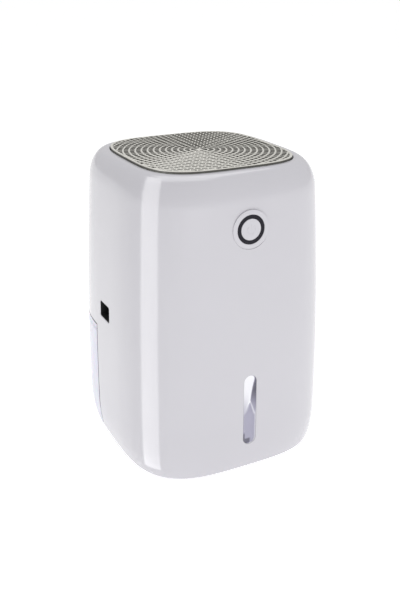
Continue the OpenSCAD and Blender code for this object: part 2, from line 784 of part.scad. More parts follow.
module hot_sink() {
    fins = floor((2 * hot_half - 2) / 4.6);
    color([0.7, 0.71, 0.73]) difference() {
        translate([0, 0, hot_z0]) linear_extrude(hot_z1 - hot_z0) mirror([0, 1]) translate([0, -hot_base_y1])
            polygon(fin_profile(hot_half, 0, sink_base_t, sink_base_t + hot_fin_l, fins));
        for (s = [-1, 1]) y_rod(s * clamp_x, cooler_z, clamp_r + thread_gap, hot_base_y0 + 0.5,
            hot_base_y1 + 1);
    }
}

module peltier_module() {
    color([0.93, 0.93, 0.92]) along_y(hot_base_y1, cold_base_y0) translate([0, cooler_z])
        square(peltier_size, center = true);
}

module foam_gasket() {
    color([0.2, 0.2, 0.2]) along_y(hot_base_y1 + 0.2, cold_base_y0 - 0.2) translate([0, cooler_z])
        difference() {
            square(cold_size - 2, center = true);
            square(peltier_size + 1, center = true);
            // way out for the module's wires
            translate([0, -cold_size / 2]) square([18, cold_size], center = true);
        }
}

module cold_sink() {
    fins = floor((cold_size - 2) / 4.4);
    color([0.74, 0.75, 0.77]) translate([0, 0, cooler_z - cold_size / 2]) {
        linear_extrude(cold_size) translate([0, cold_base_y1 - 2])
            polygon(fin_profile(cold_size / 2, 0, 2, 2 + cold_fin_l, fins));
    }
    color([0.74, 0.75, 0.77]) difference() {
        block(-cold_size / 2 - cold_tab, cold_size / 2 + cold_tab, cold_base_y0, cold_base_y1 - 1,
            cooler_z - cold_size / 2, cooler_z + cold_size / 2);
        for (s = [-1, 1]) y_rod(s * clamp_x, cooler_z, clamp_r + pass_gap, cold_base_y0 - 1,
            cold_base_y1 + 1);
    }
}

module clamp_screws() {
    color([0.35, 0.35, 0.37]) for (s = [-1, 1])
        translate([s * clamp_x, cold_base_y1, cooler_z]) rotate([-90, 0, 0])
            screw(clamp_r, cold_base_y1 - hot_base_y0 - 1, 2.6, 1.8);
}

module clamp_washers() {
    color([0.85, 0.82, 0.7]) for (s = [-1, 1]) difference() {
        y_rod(s * clamp_x, cooler_z, 3.2, cold_base_y1 - 1, cold_base_y1);
        y_rod(s * clamp_x, cooler_z, clamp_r + 0.1, cold_base_y1 - 2, cold_base_y1 + 1);
    }
}

module air_duct() {
    color([0.78, 0.78, 0.8]) difference() {
        union() {
            for (s = [-1, 1]) translate([s * (duct_half - duct_t / 2), 0, 0])
                block(-duct_t / 2, duct_t / 2, duct_y0, duct_y1, shelf_top, duct_z1);
            block(-duct_half, duct_half, duct_y0, duct_y0 + duct_t, duct_z0, duct_z1);
            for (p = board_screw_places())
                y_rod(p[0], p[1], 3, board_y, duct_y0 + 0.5);
        }
        for (p = board_screw_places()) y_rod(p[0], p[1], 1.25, board_y - 1, duct_y0 - 1);
    }
}

// ---------- fan ----------

module fan_plate() {
    notch = guide_r + 3;
    color([0.78, 0.78, 0.8]) translate([0, 0, fan_plate_z0]) linear_extrude(fan_plate_t) difference() {
        inner_outline(fan_plate_z1);
        circle(fan_bore_r, $fn = 96);
        translate([-notch, -body_d]) square([2 * notch, body_d + button_board_y0 + board_t + 6]);
        translate([-32, -52]) circle(3, $fn = 24);
        for (x = [-1, 1], y = [-1, 1]) translate([x, y] * fan_hole_pitch / 2) circle(1.55, $fn = 24);
    }
}

module fan_frame() {
    floor_t = 3;
    color([0.13, 0.13, 0.14]) difference() {
        union() {
            translate([0, 0, fan_z0]) linear_extrude(fan_t) difference() {
                round_rect(fan_size, fan_size, 4);
                circle(fan_bore_r, $fn = 96);
                for (x = [-1, 1], y = [-1, 1]) translate([x, y] * fan_hole_pitch / 2) circle(2.2, $fn = 24);
            }
            z_rod(0, 0, fan_hub_r - 1, fan_z0, fan_z0 + floor_t);
            z_rod(0, 0, 4.5, fan_z0, fan_z0 + 13);
            for (a = [45:90:315]) rotate(a) translate([fan_hub_r - 3, -2, fan_z0])
                cube([fan_bore_r - fan_hub_r + 4, 4, floor_t]);
        }
        z_rod(0, 0, 3.05, fan_z0 + 1, fan_z0 + 14);
    }
}

module fan_bearing() {
    color([0.75, 0.6, 0.35]) difference() {
        z_rod(0, 0, 3, fan_z0 + 2, fan_z0 + 13);
        z_rod(0, 0, shaft_dia / 2 + run_gap, fan_z0 + 1, fan_z0 + 14);
    }
}

module fan_stator() {
    color([0.6, 0.35, 0.2]) difference() {
        union() {
            z_rod(0, 0, 7.5, fan_z0 + 5, fan_z0 + 12);
            for (a = [0:90:270]) rotate(a) block(5, 12, -3, 3, fan_z0 + 5, fan_z0 + 12);
        }
        z_rod(0, 0, 4.6, fan_z0 + 4, fan_z0 + 13);
    }
}

module fan_rotor() {
    z0 = fan_z0 + 5.5;
    z1 = fan_z0 + 23;
    tip_r = fan_bore_r - blade_gap;
    color([0.14, 0.14, 0.15]) one_skin() {
        difference() {
            translate([0, 0, z0]) cylinder(h = z1 - z0, r = fan_hub_r, $fn = 36);
            translate([0, 0, z0 - 1]) cylinder(h = z1 - z0 - 1.2, r = fan_hub_r - hub_wall, $fn = 36);
            translate([0, 0, z0 - 1]) cylinder(h = 30, r = shaft_dia / 2 + 0.02, $fn = 24);
        }
        difference() {
            translate([0, 0, z1 - 6]) cylinder(h = 5, r = 4.5, $fn = 32);
            translate([0, 0, z1 - 7]) cylinder(h = 20, r = shaft_dia / 2 + 0.02, $fn = 24);
        }
        for (i = [0:blade_count - 1]) rotate(360 * i / blade_count)
            translate([0, 0, z0 + 1]) linear_extrude(height = z1 - z0 - 2, twist = 34, slices = 5)
                polygon([[fan_hub_r - 0.8, -0.9], [(fan_hub_r + tip_r) / 2, 0.8], [tip_r, 4.2],
                    [tip_r, 5.6], [(fan_hub_r + tip_r) / 2, 2.2], [fan_hub_r - 0.8, 0.5]]);
    }
}

module fan_shaft() {
    color([0.7, 0.7, 0.72]) z_rod(0, 0, shaft_dia / 2, fan_z0 + 3, fan_z0 + 23);
}

module fan_magnet() {
    color([0.25, 0.25, 0.27]) difference() {
        z_rod(0, 0, fan_hub_r - hub_wall - 0.15, fan_z0 + 6, fan_z0 + 16);
        z_rod(0, 0, 12.8, fan_z0 + 5, fan_z0 + 17);
    }
}

module fan_screws() {
    color([0.35, 0.35, 0.37]) for (x = [-1, 1], y = [-1, 1])
        translate([x * fan_hole_pitch / 2, y * fan_hole_pitch / 2, fan_z1])
            screw(1.5, fan_t + 3, 3, 1.8);
}

// ---------- control board ----------

function board_screw_places() = [for (x = [-1, 1], z = [board_z0 + board_screw_in,
    board_z1 - board_screw_in]) [x * (board_half - board_screw_in - 8), z]];

module control_board() {
    color([0.1, 0.35, 0.2]) difference() {
        block(-board_half, board_half, board_face, board_y, board_z0, board_z1);
        for (p = board_screw_places()) y_rod(p[0], p[1], 1.5, board_face - 1, board_y + 1);
    }
}

// A part on the board: its left edge, bottom edge, width, height and thickness
module board_block(x, z, w, h, t) {
    block(x, x + w, board_face - t, board_face, z, z + h);
}

module board_parts() {
    low = board_z0 + 2;
    color([0.9, 0.88, 0.8]) {
        board_block(-35.2, board_z1 - 9, 7, 5, 6);
        board_block(6, board_z1 - 9, 8, 5, 6);
        board_block(-10, low, 20, 5, 6);
        board_block(40.8, low + 1, 7.2, 6, 6);
        board_block(-48, low + 1, 7.2, 6, 6);
    }
    color([0.12, 0.12, 0.13]) {
        board_block(-22, board_z0 + 24, 14, 10, 1.8);
        board_block(6, board_z0 + 22, 9, 12, 4.5);
        board_block(20, board_z0 + 16, 12, 12, 7);
    }
    color([0.15, 0.2, 0.4]) for (p = [[-36, 26], [-36, 42], [-22, 44]])
        y_rod(p[0], board_z0 + p[1], 5, board_face - 12, board_face);
    color([0.1, 0.1, 0.1]) y_rod(26, board_z0 + 42, 6, board_face - 9, board_face);
}

module board_screws() {
    color([0.6, 0.6, 0.62]) for (p = board_screw_places())
        translate([p[0], board_face, p[1]]) rotate([90, 0, 0]) screw(1.2, 9, 2.5, 1.6);
}

// ---------- internal leads ----------

module fan_lead() {
    color([0.1, 0.1, 0.1]) lead(fan_route, lead_r, [1, 0, 0]);
}

module peltier_leads() {
    color([0.7, 0.1, 0.1]) lead(peltier_route, lead_r, [1, 0, 0]);
    color([0.1, 0.1, 0.1]) translate([-12, 0, 0]) lead(peltier_route, lead_r, [1, 0, 0]);
}

module button_lead() {
    color([0.85, 0.85, 0.85]) lead(button_route, lead_r, [1, 0, 0]);
}

module sensor_lead() {
    color([0.85, 0.85, 0.85]) lead(sensor_route, lead_r, [0, 0, 1]);
}

module power_lead() {
    color([0.1, 0.1, 0.1]) lead(power_route, power_lead_r, [0, 0, 1]);
}

casing();
rear_cover();
top_grille();
grille_rim();
base_plate();
rubber_feet();
base_screws();
rear_screws();
power_button();
button_ring();
switch_plunger();
button_guide();
tact_switch();
button_board();
status_leds();
level_window();
socket_recess();
dc_socket();
dc_pin();
water_tank();
tank_lid();
float_bracket();
float_pin();
tank_float();
float_magnet();
drip_tray();
level_sensor();
hot_sink();
peltier_module();
foam_gasket();
cold_sink();
clamp_screws();
clamp_washers();
air_duct();
fan_plate();
fan_frame();
fan_bearing();
fan_stator();
fan_rotor();
fan_shaft();
fan_magnet();
fan_screws();
control_board();
board_parts();
board_screws();
fan_lead();
peltier_leads();
button_lead();
sensor_lead();
power_lead();
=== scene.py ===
import json
import math

import bmesh
import bpy
import numpy as np
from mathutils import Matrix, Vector


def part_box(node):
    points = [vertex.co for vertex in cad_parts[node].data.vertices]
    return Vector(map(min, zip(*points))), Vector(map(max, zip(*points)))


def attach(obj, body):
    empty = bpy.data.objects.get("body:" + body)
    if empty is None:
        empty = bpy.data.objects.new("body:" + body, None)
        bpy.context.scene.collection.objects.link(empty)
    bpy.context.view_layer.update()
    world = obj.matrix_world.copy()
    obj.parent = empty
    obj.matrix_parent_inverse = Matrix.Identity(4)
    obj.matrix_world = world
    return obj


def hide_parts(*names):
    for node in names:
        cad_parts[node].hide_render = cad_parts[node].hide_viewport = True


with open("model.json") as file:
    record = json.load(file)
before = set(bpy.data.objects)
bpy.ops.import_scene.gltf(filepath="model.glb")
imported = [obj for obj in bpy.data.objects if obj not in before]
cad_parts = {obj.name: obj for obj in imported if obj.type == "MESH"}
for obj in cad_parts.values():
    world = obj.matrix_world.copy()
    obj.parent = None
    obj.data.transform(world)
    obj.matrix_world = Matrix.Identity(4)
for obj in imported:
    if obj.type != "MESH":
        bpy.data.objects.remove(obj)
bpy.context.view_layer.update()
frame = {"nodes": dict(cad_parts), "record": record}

nodes = frame["nodes"]
scene = bpy.context.scene


# shapes are worked out in millimetres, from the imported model's own places
def low(node):
    return np.array(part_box(node)[0]) * 1000


def high(node):
    return np.array(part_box(node)[1]) * 1000


def sizeOf(node):
    return high(node) - low(node)


def middleOf(node):
    return (high(node) + low(node)) / 2


casing = {"width": 152, "depth": 157, "squareness": 3.5, "lean": 0.023, "belly": 2.5, "wall": 2.5,
          "topRound": 10.5, "topRoundHeight": 20, "bottomRound": 6, "bottomRoundHeight": 30}
casingBottom = low("casing")[2]
casingTop = high("casing")[2]
columns = 384  # points round the plan of every casing surface
cutting = {"beyond": 95, "inside": 50, "past": 9, "skin": 0.02}  # how far the cutters reach


# inset: a straight lean, a square-law belly and an elliptic rounding at each end of the height
def insetAt(z):
    z = np.asarray(z, float)
    mid = casingTop / 2
    foot = np.clip(1 - z / casing["bottomRoundHeight"], 0, 1)
    crown = np.clip((z - casingTop) / casing["topRoundHeight"] + 1, 0, 1)
    return (casing["lean"] * (z - mid) + casing["belly"] * ((z - mid) / mid) ** 2
            + casing["bottomRound"] * (1 - np.sqrt(1 - foot ** 2))
            + casing["topRound"] * (1 - np.sqrt(np.clip(1 - crown ** 2, 0, 1))))


def halfWidth(z, off=0.0):
    return casing["width"] / 2 - insetAt(z) - off


def halfDepth(z, off=0.0):
    return casing["depth"] / 2 - insetAt(z) - off


# surface place: the soft square |x/a|^n + |y/b|^n = 1 solved for y, and for x
def surfaceY(x, z, off=0.0):
    n = casing["squareness"]
    return halfDepth(z, off) * np.clip(1 - np.abs(x / halfWidth(z, off)) ** n, 1e-9, 1) ** (1 / n)


def surfaceX(y, z, off=0.0):
    n = casing["squareness"]
    return halfWidth(z, off) * np.clip(1 - np.abs(y / halfDepth(z, off)) ** n, 1e-9, 1) ** (1 / n)


# soft square: (a |cos t|^(2/n), b |sin t|^(2/n)) with its signs, at angles even along the curve
def evenAngles(n, count):
    t = np.linspace(0, np.pi / 2, 20001)
    x, y = np.cos(t) ** (2 / n), np.sin(t) ** (2 / n)
    run = np.concatenate([[0], np.cumsum(np.hypot(np.diff(x), np.diff(y)))])
    quarter = np.interp((np.arange(count // 4) + 0.5) / (count // 4) * run[-1], run, t)
    return np.concatenate([quarter + k * np.pi / 2 if k % 2 == 0 else
                           k * np.pi / 2 + np.pi / 2 - quarter[::-1] for k in range(4)])


def softSquare(a, b, n, count=columns):
    t = evenAngles(n, count)
    c, s = np.cos(t), np.sin(t)
    return np.stack([a * np.sign(c) * np.abs(c) ** (2 / n),
                     b * np.sign(s) * np.abs(s) ** (2 / n)], 1)


# rounded rectangle: four quarter circles of radius r at the corners of the inner rectangle
def roundedRect(w, h, r, steps=12):
    r = min(r, min(w, h) / 2 - 0.02)  # just short of a half circle, so that no edge has no length
    t = np.linspace(0, np.pi / 2, steps + 1)[None, :] + np.arange(4)[:, None] * np.pi / 2
    sx, sy = np.array([1, -1, -1, 1])[:, None], np.array([1, 1, -1, -1])[:, None]
    x = sx * (w / 2 - r) + r * np.cos(t)
    y = sy * (h / 2 - r) + r * np.sin(t)
    return np.stack([x.ravel(), y.ravel()], 1)


def circle(r, count=96):
    t = np.arange(count) * 2 * np.pi / count
    return np.stack([r * np.cos(t), r * np.sin(t)], 1)


def at(outline, z):
    return np.column_stack([outline, np.full(len(outline), float(z))])


def gridQuads(rows, cols, closeRows=False):
    # the faces of a grid whose columns close round, and whose rows may close too
    i = np.arange(rows if closeRows else rows - 1)[:, None]
    j = np.arange(cols)[None, :]
    a, b = i * cols + j, i * cols + (j + 1) % cols
    up = ((i + 1) % rows) * cols
    return np.stack([a, b, up + (j + 1) % cols, up + j], -1).reshape(-1, 4)


def sheetQuads(rows, cols):
    # the faces of an open grid
    i, j = np.meshgrid(np.arange(rows - 1), np.arange(cols - 1), indexing="ij")
    return np.stack([i * cols + j, i * cols + j + 1, (i + 1) * cols + j + 1, (i + 1) * cols + j],
                    -1).reshape(-1, 4)


def rimFaces(rows, cols):
    # the border of a doubled grid, as a closed run of faces from the first layer to the second
    rim = np.concatenate([np.arange(cols), np.arange(1, rows) * cols + cols - 1,
                          (rows - 1) * cols + np.arange(cols - 2, -1, -1),
                          np.arange(rows - 2, 0, -1) * cols])
    nxt = np.roll(rim, -1)
    return np.stack([rim, rim + rows * cols, nxt + rows * cols, nxt], -1)


def makePiece(name, points, faces, smooth=True):
    mesh = bpy.data.meshes.new(name)
    mesh.from_pydata((np.asarray(points) / 1000).tolist(), [],
                     faces if isinstance(faces, list) else faces.tolist())
    mesh.validate()
    mesh.update()
    piece = bpy.data.objects.new(name, mesh)
    scene.collection.objects.link(piece)
    if smooth:
        shadeSmooth(piece)
    return piece


def readBack(items, field, width):
    found = np.empty(len(items) * width)
    items.foreach_get(field, found)
    return found.reshape(-1, width)


def shadeSmooth(piece, degrees=32):
    mesh = piece.data
    mesh.polygons.foreach_set("use_smooth", np.ones(len(mesh.polygons), bool))
    mesh.set_sharp_from_angle(angle=math.radians(degrees))


# loft: a stack of outlines with equal counts, joined in order, with flat ends or closed on itself
def loft(name, rings, closed=False, caps=(True, True), smooth=True):
    rows, cols = len(rings), len(rings[0])
    faces = gridQuads(rows, cols, closed).tolist()
    if not closed and caps[0]:
        faces.append(list(range(cols))[::-1])
    if not closed and caps[1]:
        faces.append([(rows - 1) * cols + j for j in range(cols)])
    return outward(makePiece(name, np.concatenate(rings), faces, smooth))


# turned: a profile of (radius, height) carried round an axis through a centre
def turned(name, profile, centre, axis="z", count=96, closed=False):
    r, h = np.asarray(profile, float).T[:, :, None]
    t = np.arange(count) * 2 * np.pi / count
    across, along, up = r * np.cos(t), r * np.sin(t), h + 0 * t
    order = (across, along, up) if axis == "z" else (along, up, across)
    return loft(name, np.stack(order, -1) + np.asarray(centre, float), closed)


def joined(name, pieces):
    first = pieces[0]
    if len(pieces) > 1:
        with bpy.context.temp_override(active_object=first, object=first, selected_objects=pieces,
                                       selected_editable_objects=pieces):
            bpy.ops.object.join()
    first.name = first.data.name = name
    return first


# cutting: one exact boolean with all the cutters joined
def cut(piece, cutters, how="DIFFERENCE"):
    tool = joined("cutter", cutters)
    mod = piece.modifiers.new("cut", "BOOLEAN")
    mod.operation, mod.object, mod.solver = how, tool, "EXACT"
    bpy.context.view_layer.update()
    shown = piece.evaluated_get(bpy.context.evaluated_depsgraph_get())
    made = bpy.data.meshes.new_from_object(shown)
    piece.modifiers.remove(mod)
    old = piece.data
    piece.data = made
    made.name = piece.name
    bpy.data.meshes.remove(old)
    bpy.data.objects.remove(tool)
    shadeSmooth(piece)
    return piece


# run: the length along a line of points up to each of them
def runOf(points):
    return np.concatenate([[0], np.cumsum(np.hypot(*np.diff(points, axis=0).T))])


def placesAt(points, run, wanted):
    return np.stack([np.interp(wanted, run, points[:, k]) for k in (0, 1)], 1)


# filled outline: points added along its long edges, so that it can follow a curved wall
def filled(outline, step=1.5):
    o = np.vstack([outline, outline[:1]])
    run = runOf(o)
    places = [np.linspace(p, q, max(2, int((q - p) / step) + 1))[:-1] for p, q in zip(run, run[1:])]
    return placesAt(o, run, np.concatenate(places))


# on the wall: an outline laid at a depth under the front, back or left surface, or on a flat plane
def onWall(outline, depth, side, plane=None):
    u, z = outline[:, 0], outline[:, 1]
    if side == "left":
        x = -(surfaceX(u, z) - depth) if plane is None else np.full(len(u), float(plane))
        return np.stack([x, u, z], 1)
    sign = -1 if side == "front" else 1
    y = sign * (surfaceY(u, z) - depth) if plane is None else np.full(len(u), float(plane))
    return np.stack([u, y, z], 1)


# grown outline: the same number of points as the plain one, at the same shares of its length
def grown(outlineAt, grow, step=1.5):
    plain, o = filled(outlineAt(0), step), outlineAt(grow)
    share, o = runOf(np.vstack([plain, plain[:1]])), np.vstack([o, o[:1]])
    run = runOf(o)
    return placesAt(o, run, share[:-1] / share[-1] * run[-1])


# wall cutter: the outline from a far flat end to a flat end inside, with a chamfer at the surface
def wallCutter(outlineAt, size, reach, side, step=1.5):
    skin = cutting["skin"]
    middle, flared = grown(outlineAt, 0, step), grown(outlineAt, size + skin, step)
    sign = 1 if side == "back" else -1
    axis = 0 if side == "left" else 1
    end = sign * np.abs(onWall(middle, reach, side)[:, axis]).min()
    return loft("wallCutter", [onWall(flared, 0, side, sign * cutting["beyond"]),
                               onWall(flared, -skin, side), onWall(middle, size, side),
                               onWall(middle, 0, side, end)])


def outward(piece):
    # seams closed and faces turned outward; a piece whose signed volume is negative is inside out
    work = bmesh.new()
    work.from_mesh(piece.data)
    bmesh.ops.remove_doubles(work, verts=work.verts, dist=1e-7)
    bmesh.ops.recalc_face_normals(work, faces=work.faces)
    if work.calc_volume(signed=True) < 0:
        bmesh.ops.reverse_faces(work, faces=work.faces)
    work.to_mesh(piece.data)
    work.free()
    return piece


def box(name, x, y, z):
    points = [[x[i], y[j], z[k]] for k in (0, 1) for j in (0, 1) for i in (0, 1)]
    faces = [[0, 2, 3, 1], [4, 5, 7, 6], [0, 1, 5, 4], [2, 6, 7, 3], [0, 4, 6, 2], [1, 3, 7, 5]]
    return makePiece(name, points, faces, smooth=False)


surfaceLook = {"drift": {"Scale": 14, "Detail": 5}, "grain": {"Detail": 2}, "grainShare": 0.05,
               "smudge": {"Scale": 34, "Detail": 6, "Distortion": 0.8}, "smudgeRange": (0.52, 0.74),
               "dust": {"Scale": 420}, "dustSize": 0.07, "dustColour": (0.62, 0.60, 0.57, 1),
               "bumpDistance": 0.0004}


def preset(node, values):
    for socket, value in values.items():
        node.inputs[socket].default_value = value


def addNode(tree, kind, values=None):
    node = tree.nodes.new("ShaderNode" + kind)
    preset(node, values or {})
    return node


def colourMix(tree, values=None):
    node = tree.nodes.new("ShaderNodeMix")
    node.data_type = "RGBA"
    preset(node, values or {})
    return node


def group(name, inputs, outputs):
    tree = bpy.data.node_groups.new(name, "ShaderNodeTree")
    for label, value in inputs.items():
        kind = "NodeSocketColor" if isinstance(value, tuple) else "NodeSocketFloat"
        socket = tree.interface.new_socket(name=label, in_out="INPUT", socket_type=kind)
        socket.default_value = value
    for label, kind in outputs.items():
        tree.interface.new_socket(name=label, in_out="OUTPUT", socket_type="NodeSocket" + kind)
    return tree, tree.nodes.new("NodeGroupInput").outputs, tree.nodes.new("NodeGroupOutput").inputs


def wire(tree, *pairs):
    for a, b in pairs:
        tree.links.new(a, b)


def mathNode(tree, operation, a, b):
    node = tree.nodes.new("ShaderNodeMath")
    node.operation = operation
    for k, v in enumerate((a, b)):
        if isinstance(v, (int, float)):
            node.inputs[k].default_value = v
        else:
            tree.links.new(v, node.inputs[k])
    return node.outputs[0]


def buildMouldedGroup():
    # moulded surface: a fine grain height, a slow colour drift and a roughness that follows both
    tree, given, made = group("mouldedSurface", {
        "Colour": (0.8, 0.8, 0.8, 1), "Drift": 0.03, "Grain Scale": 900.0, "Roughness": 0.3,
        "Roughness Spread": 0.08}, {"Colour": "Color", "Roughness": "Float", "Height": "Float"})
    place, tone = addNode(tree, "TexCoord"), addNode(tree, "HueSaturation")
    slow = addNode(tree, "TexNoise", surfaceLook["drift"])
    fine = addNode(tree, "TexNoise", surfaceLook["grain"])
    wire(tree, (place.outputs["Object"], slow.inputs["Vector"]),
         (place.outputs["Object"], fine.inputs["Vector"]),
         (given["Grain Scale"], fine.inputs["Scale"]))
    swing = mathNode(tree, "SUBTRACT", slow.outputs["Fac"], 0.5)
    drift = mathNode(tree, "MULTIPLY", swing, given["Drift"])
    spread = mathNode(tree, "MULTIPLY", swing, given["Roughness Spread"])
    grain = mathNode(tree, "MULTIPLY", mathNode(tree, "SUBTRACT", fine.outputs["Fac"], 0.5),
                     surfaceLook["grainShare"])
    rough = mathNode(tree, "ADD", mathNode(tree, "ADD", spread, given["Roughness"]), grain)
    wire(tree, (mathNode(tree, "ADD", drift, 1.0), tone.inputs["Value"]),
         (given["Colour"], tone.inputs["Color"]), (tone.outputs["Color"], made["Colour"]),
         (rough, made["Roughness"]), (fine.outputs["Fac"], made["Height"]))
    return tree


def buildHandlingGroup():
    # handling: soft smudges where a distorted noise passes a level, and sparse dust specks
    tree, given, made = group("handlingMarks", {"Smudge": 0.1, "Dust": 0.1},
                              {"Smudge": "Float", "Dust": "Float"})
    place, ramp = addNode(tree, "TexCoord"), addNode(tree, "ValToRGB")
    smudge = addNode(tree, "TexNoise", surfaceLook["smudge"])
    specks = addNode(tree, "TexVoronoi", surfaceLook["dust"])
    for element, position in zip(ramp.color_ramp.elements, surfaceLook["smudgeRange"]):
        element.position = position
    near = mathNode(tree, "LESS_THAN", specks.outputs["Distance"], surfaceLook["dustSize"])
    wire(tree, (place.outputs["Object"], smudge.inputs["Vector"]),
         (place.outputs["Object"], specks.inputs["Vector"]),
         (smudge.outputs["Fac"], ramp.inputs["Fac"]),
         (mathNode(tree, "MULTIPLY", ramp.outputs["Color"], given["Smudge"]), made["Smudge"]),
         (mathNode(tree, "MULTIPLY", near, given["Dust"]), made["Dust"]))
    return tree


mouldedGroup = buildMouldedGroup()
handlingGroup = buildHandlingGroup()


# finish: moulded colour and roughness, smudges that roughen it, dust specks mixed into the colour,
# and a fine bump; deep paints shade into hollows along Z, the shading along Y paints a shadow line
# at a plane, and sockets sets the shader's own
def finish(name, colour, roughness, spread=0.08, grain=900.0, drift=0.03, bump=0.02, smudge=0.08,
           dust=0.0, deep=None, paintedSeamShade=None, sockets=None):
    material = bpy.data.materials.new(name)
    material.use_nodes = True
    tree = material.node_tree
    main = tree.nodes["Principled BSDF"]
    moulded, marks = addNode(tree, "Group"), addNode(tree, "Group")
    moulded.node_tree, marks.node_tree = mouldedGroup, handlingGroup
    preset(moulded, {"Colour": (*colour, 1), "Drift": drift, "Grain Scale": grain,
                     "Roughness": roughness, "Roughness Spread": spread})
    preset(marks, {"Smudge": smudge, "Dust": dust})
    mix = colourMix(tree, {"B": surfaceLook["dustColour"]})
    raised = addNode(tree, "Bump", {"Strength": bump, "Distance": surfaceLook["bumpDistance"]})
    rough = mathNode(tree, "ADD", moulded.outputs["Roughness"], marks.outputs["Smudge"])
    wire(tree, (marks.outputs["Dust"], mix.inputs["Factor"]),
         (moulded.outputs["Colour"], mix.inputs["A"]),
         (mix.outputs["Result"], main.inputs["Base Color"]), (rough, main.inputs["Roughness"]),
         (moulded.outputs["Height"], raised.inputs["Height"]),
         (raised.outputs["Normal"], main.inputs["Normal"]))
    preset(main, sockets or {})
    for axis, shade in (("Z", deep), ("Y", paintedSeamShade)):
        if shade:
            shadeAlong(tree, mix, main, axis, **shade)
    return material


def shadeAlong(tree, mix, main, axis, colour, plain, full, plane=None):
    # painted shade along an axis: another colour's share is (plain - p) / (plain - full), held to
    # 0..1, where p is the place on the axis, or its distance |p - plane| from a plane across it
    place, apart = addNode(tree, "TexCoord"), addNode(tree, "SeparateXYZ")
    depth = addNode(tree, "MapRange", {"From Min": plain, "From Max": full})
    under = colourMix(tree, {"B": (*colour, 1)})
    along = apart.outputs[axis]
    if plane is not None:
        along = mathNode(tree, "ABSOLUTE", mathNode(tree, "SUBTRACT", along, plane), 0.0)
    wire(tree, (place.outputs["Object"], apart.inputs["Vector"]), (along, depth.inputs["Value"]),
         (depth.outputs["Result"], under.inputs["Factor"]),
         (mix.outputs["Result"], under.inputs["A"]),
         (under.outputs["Result"], main.inputs["Base Color"]))


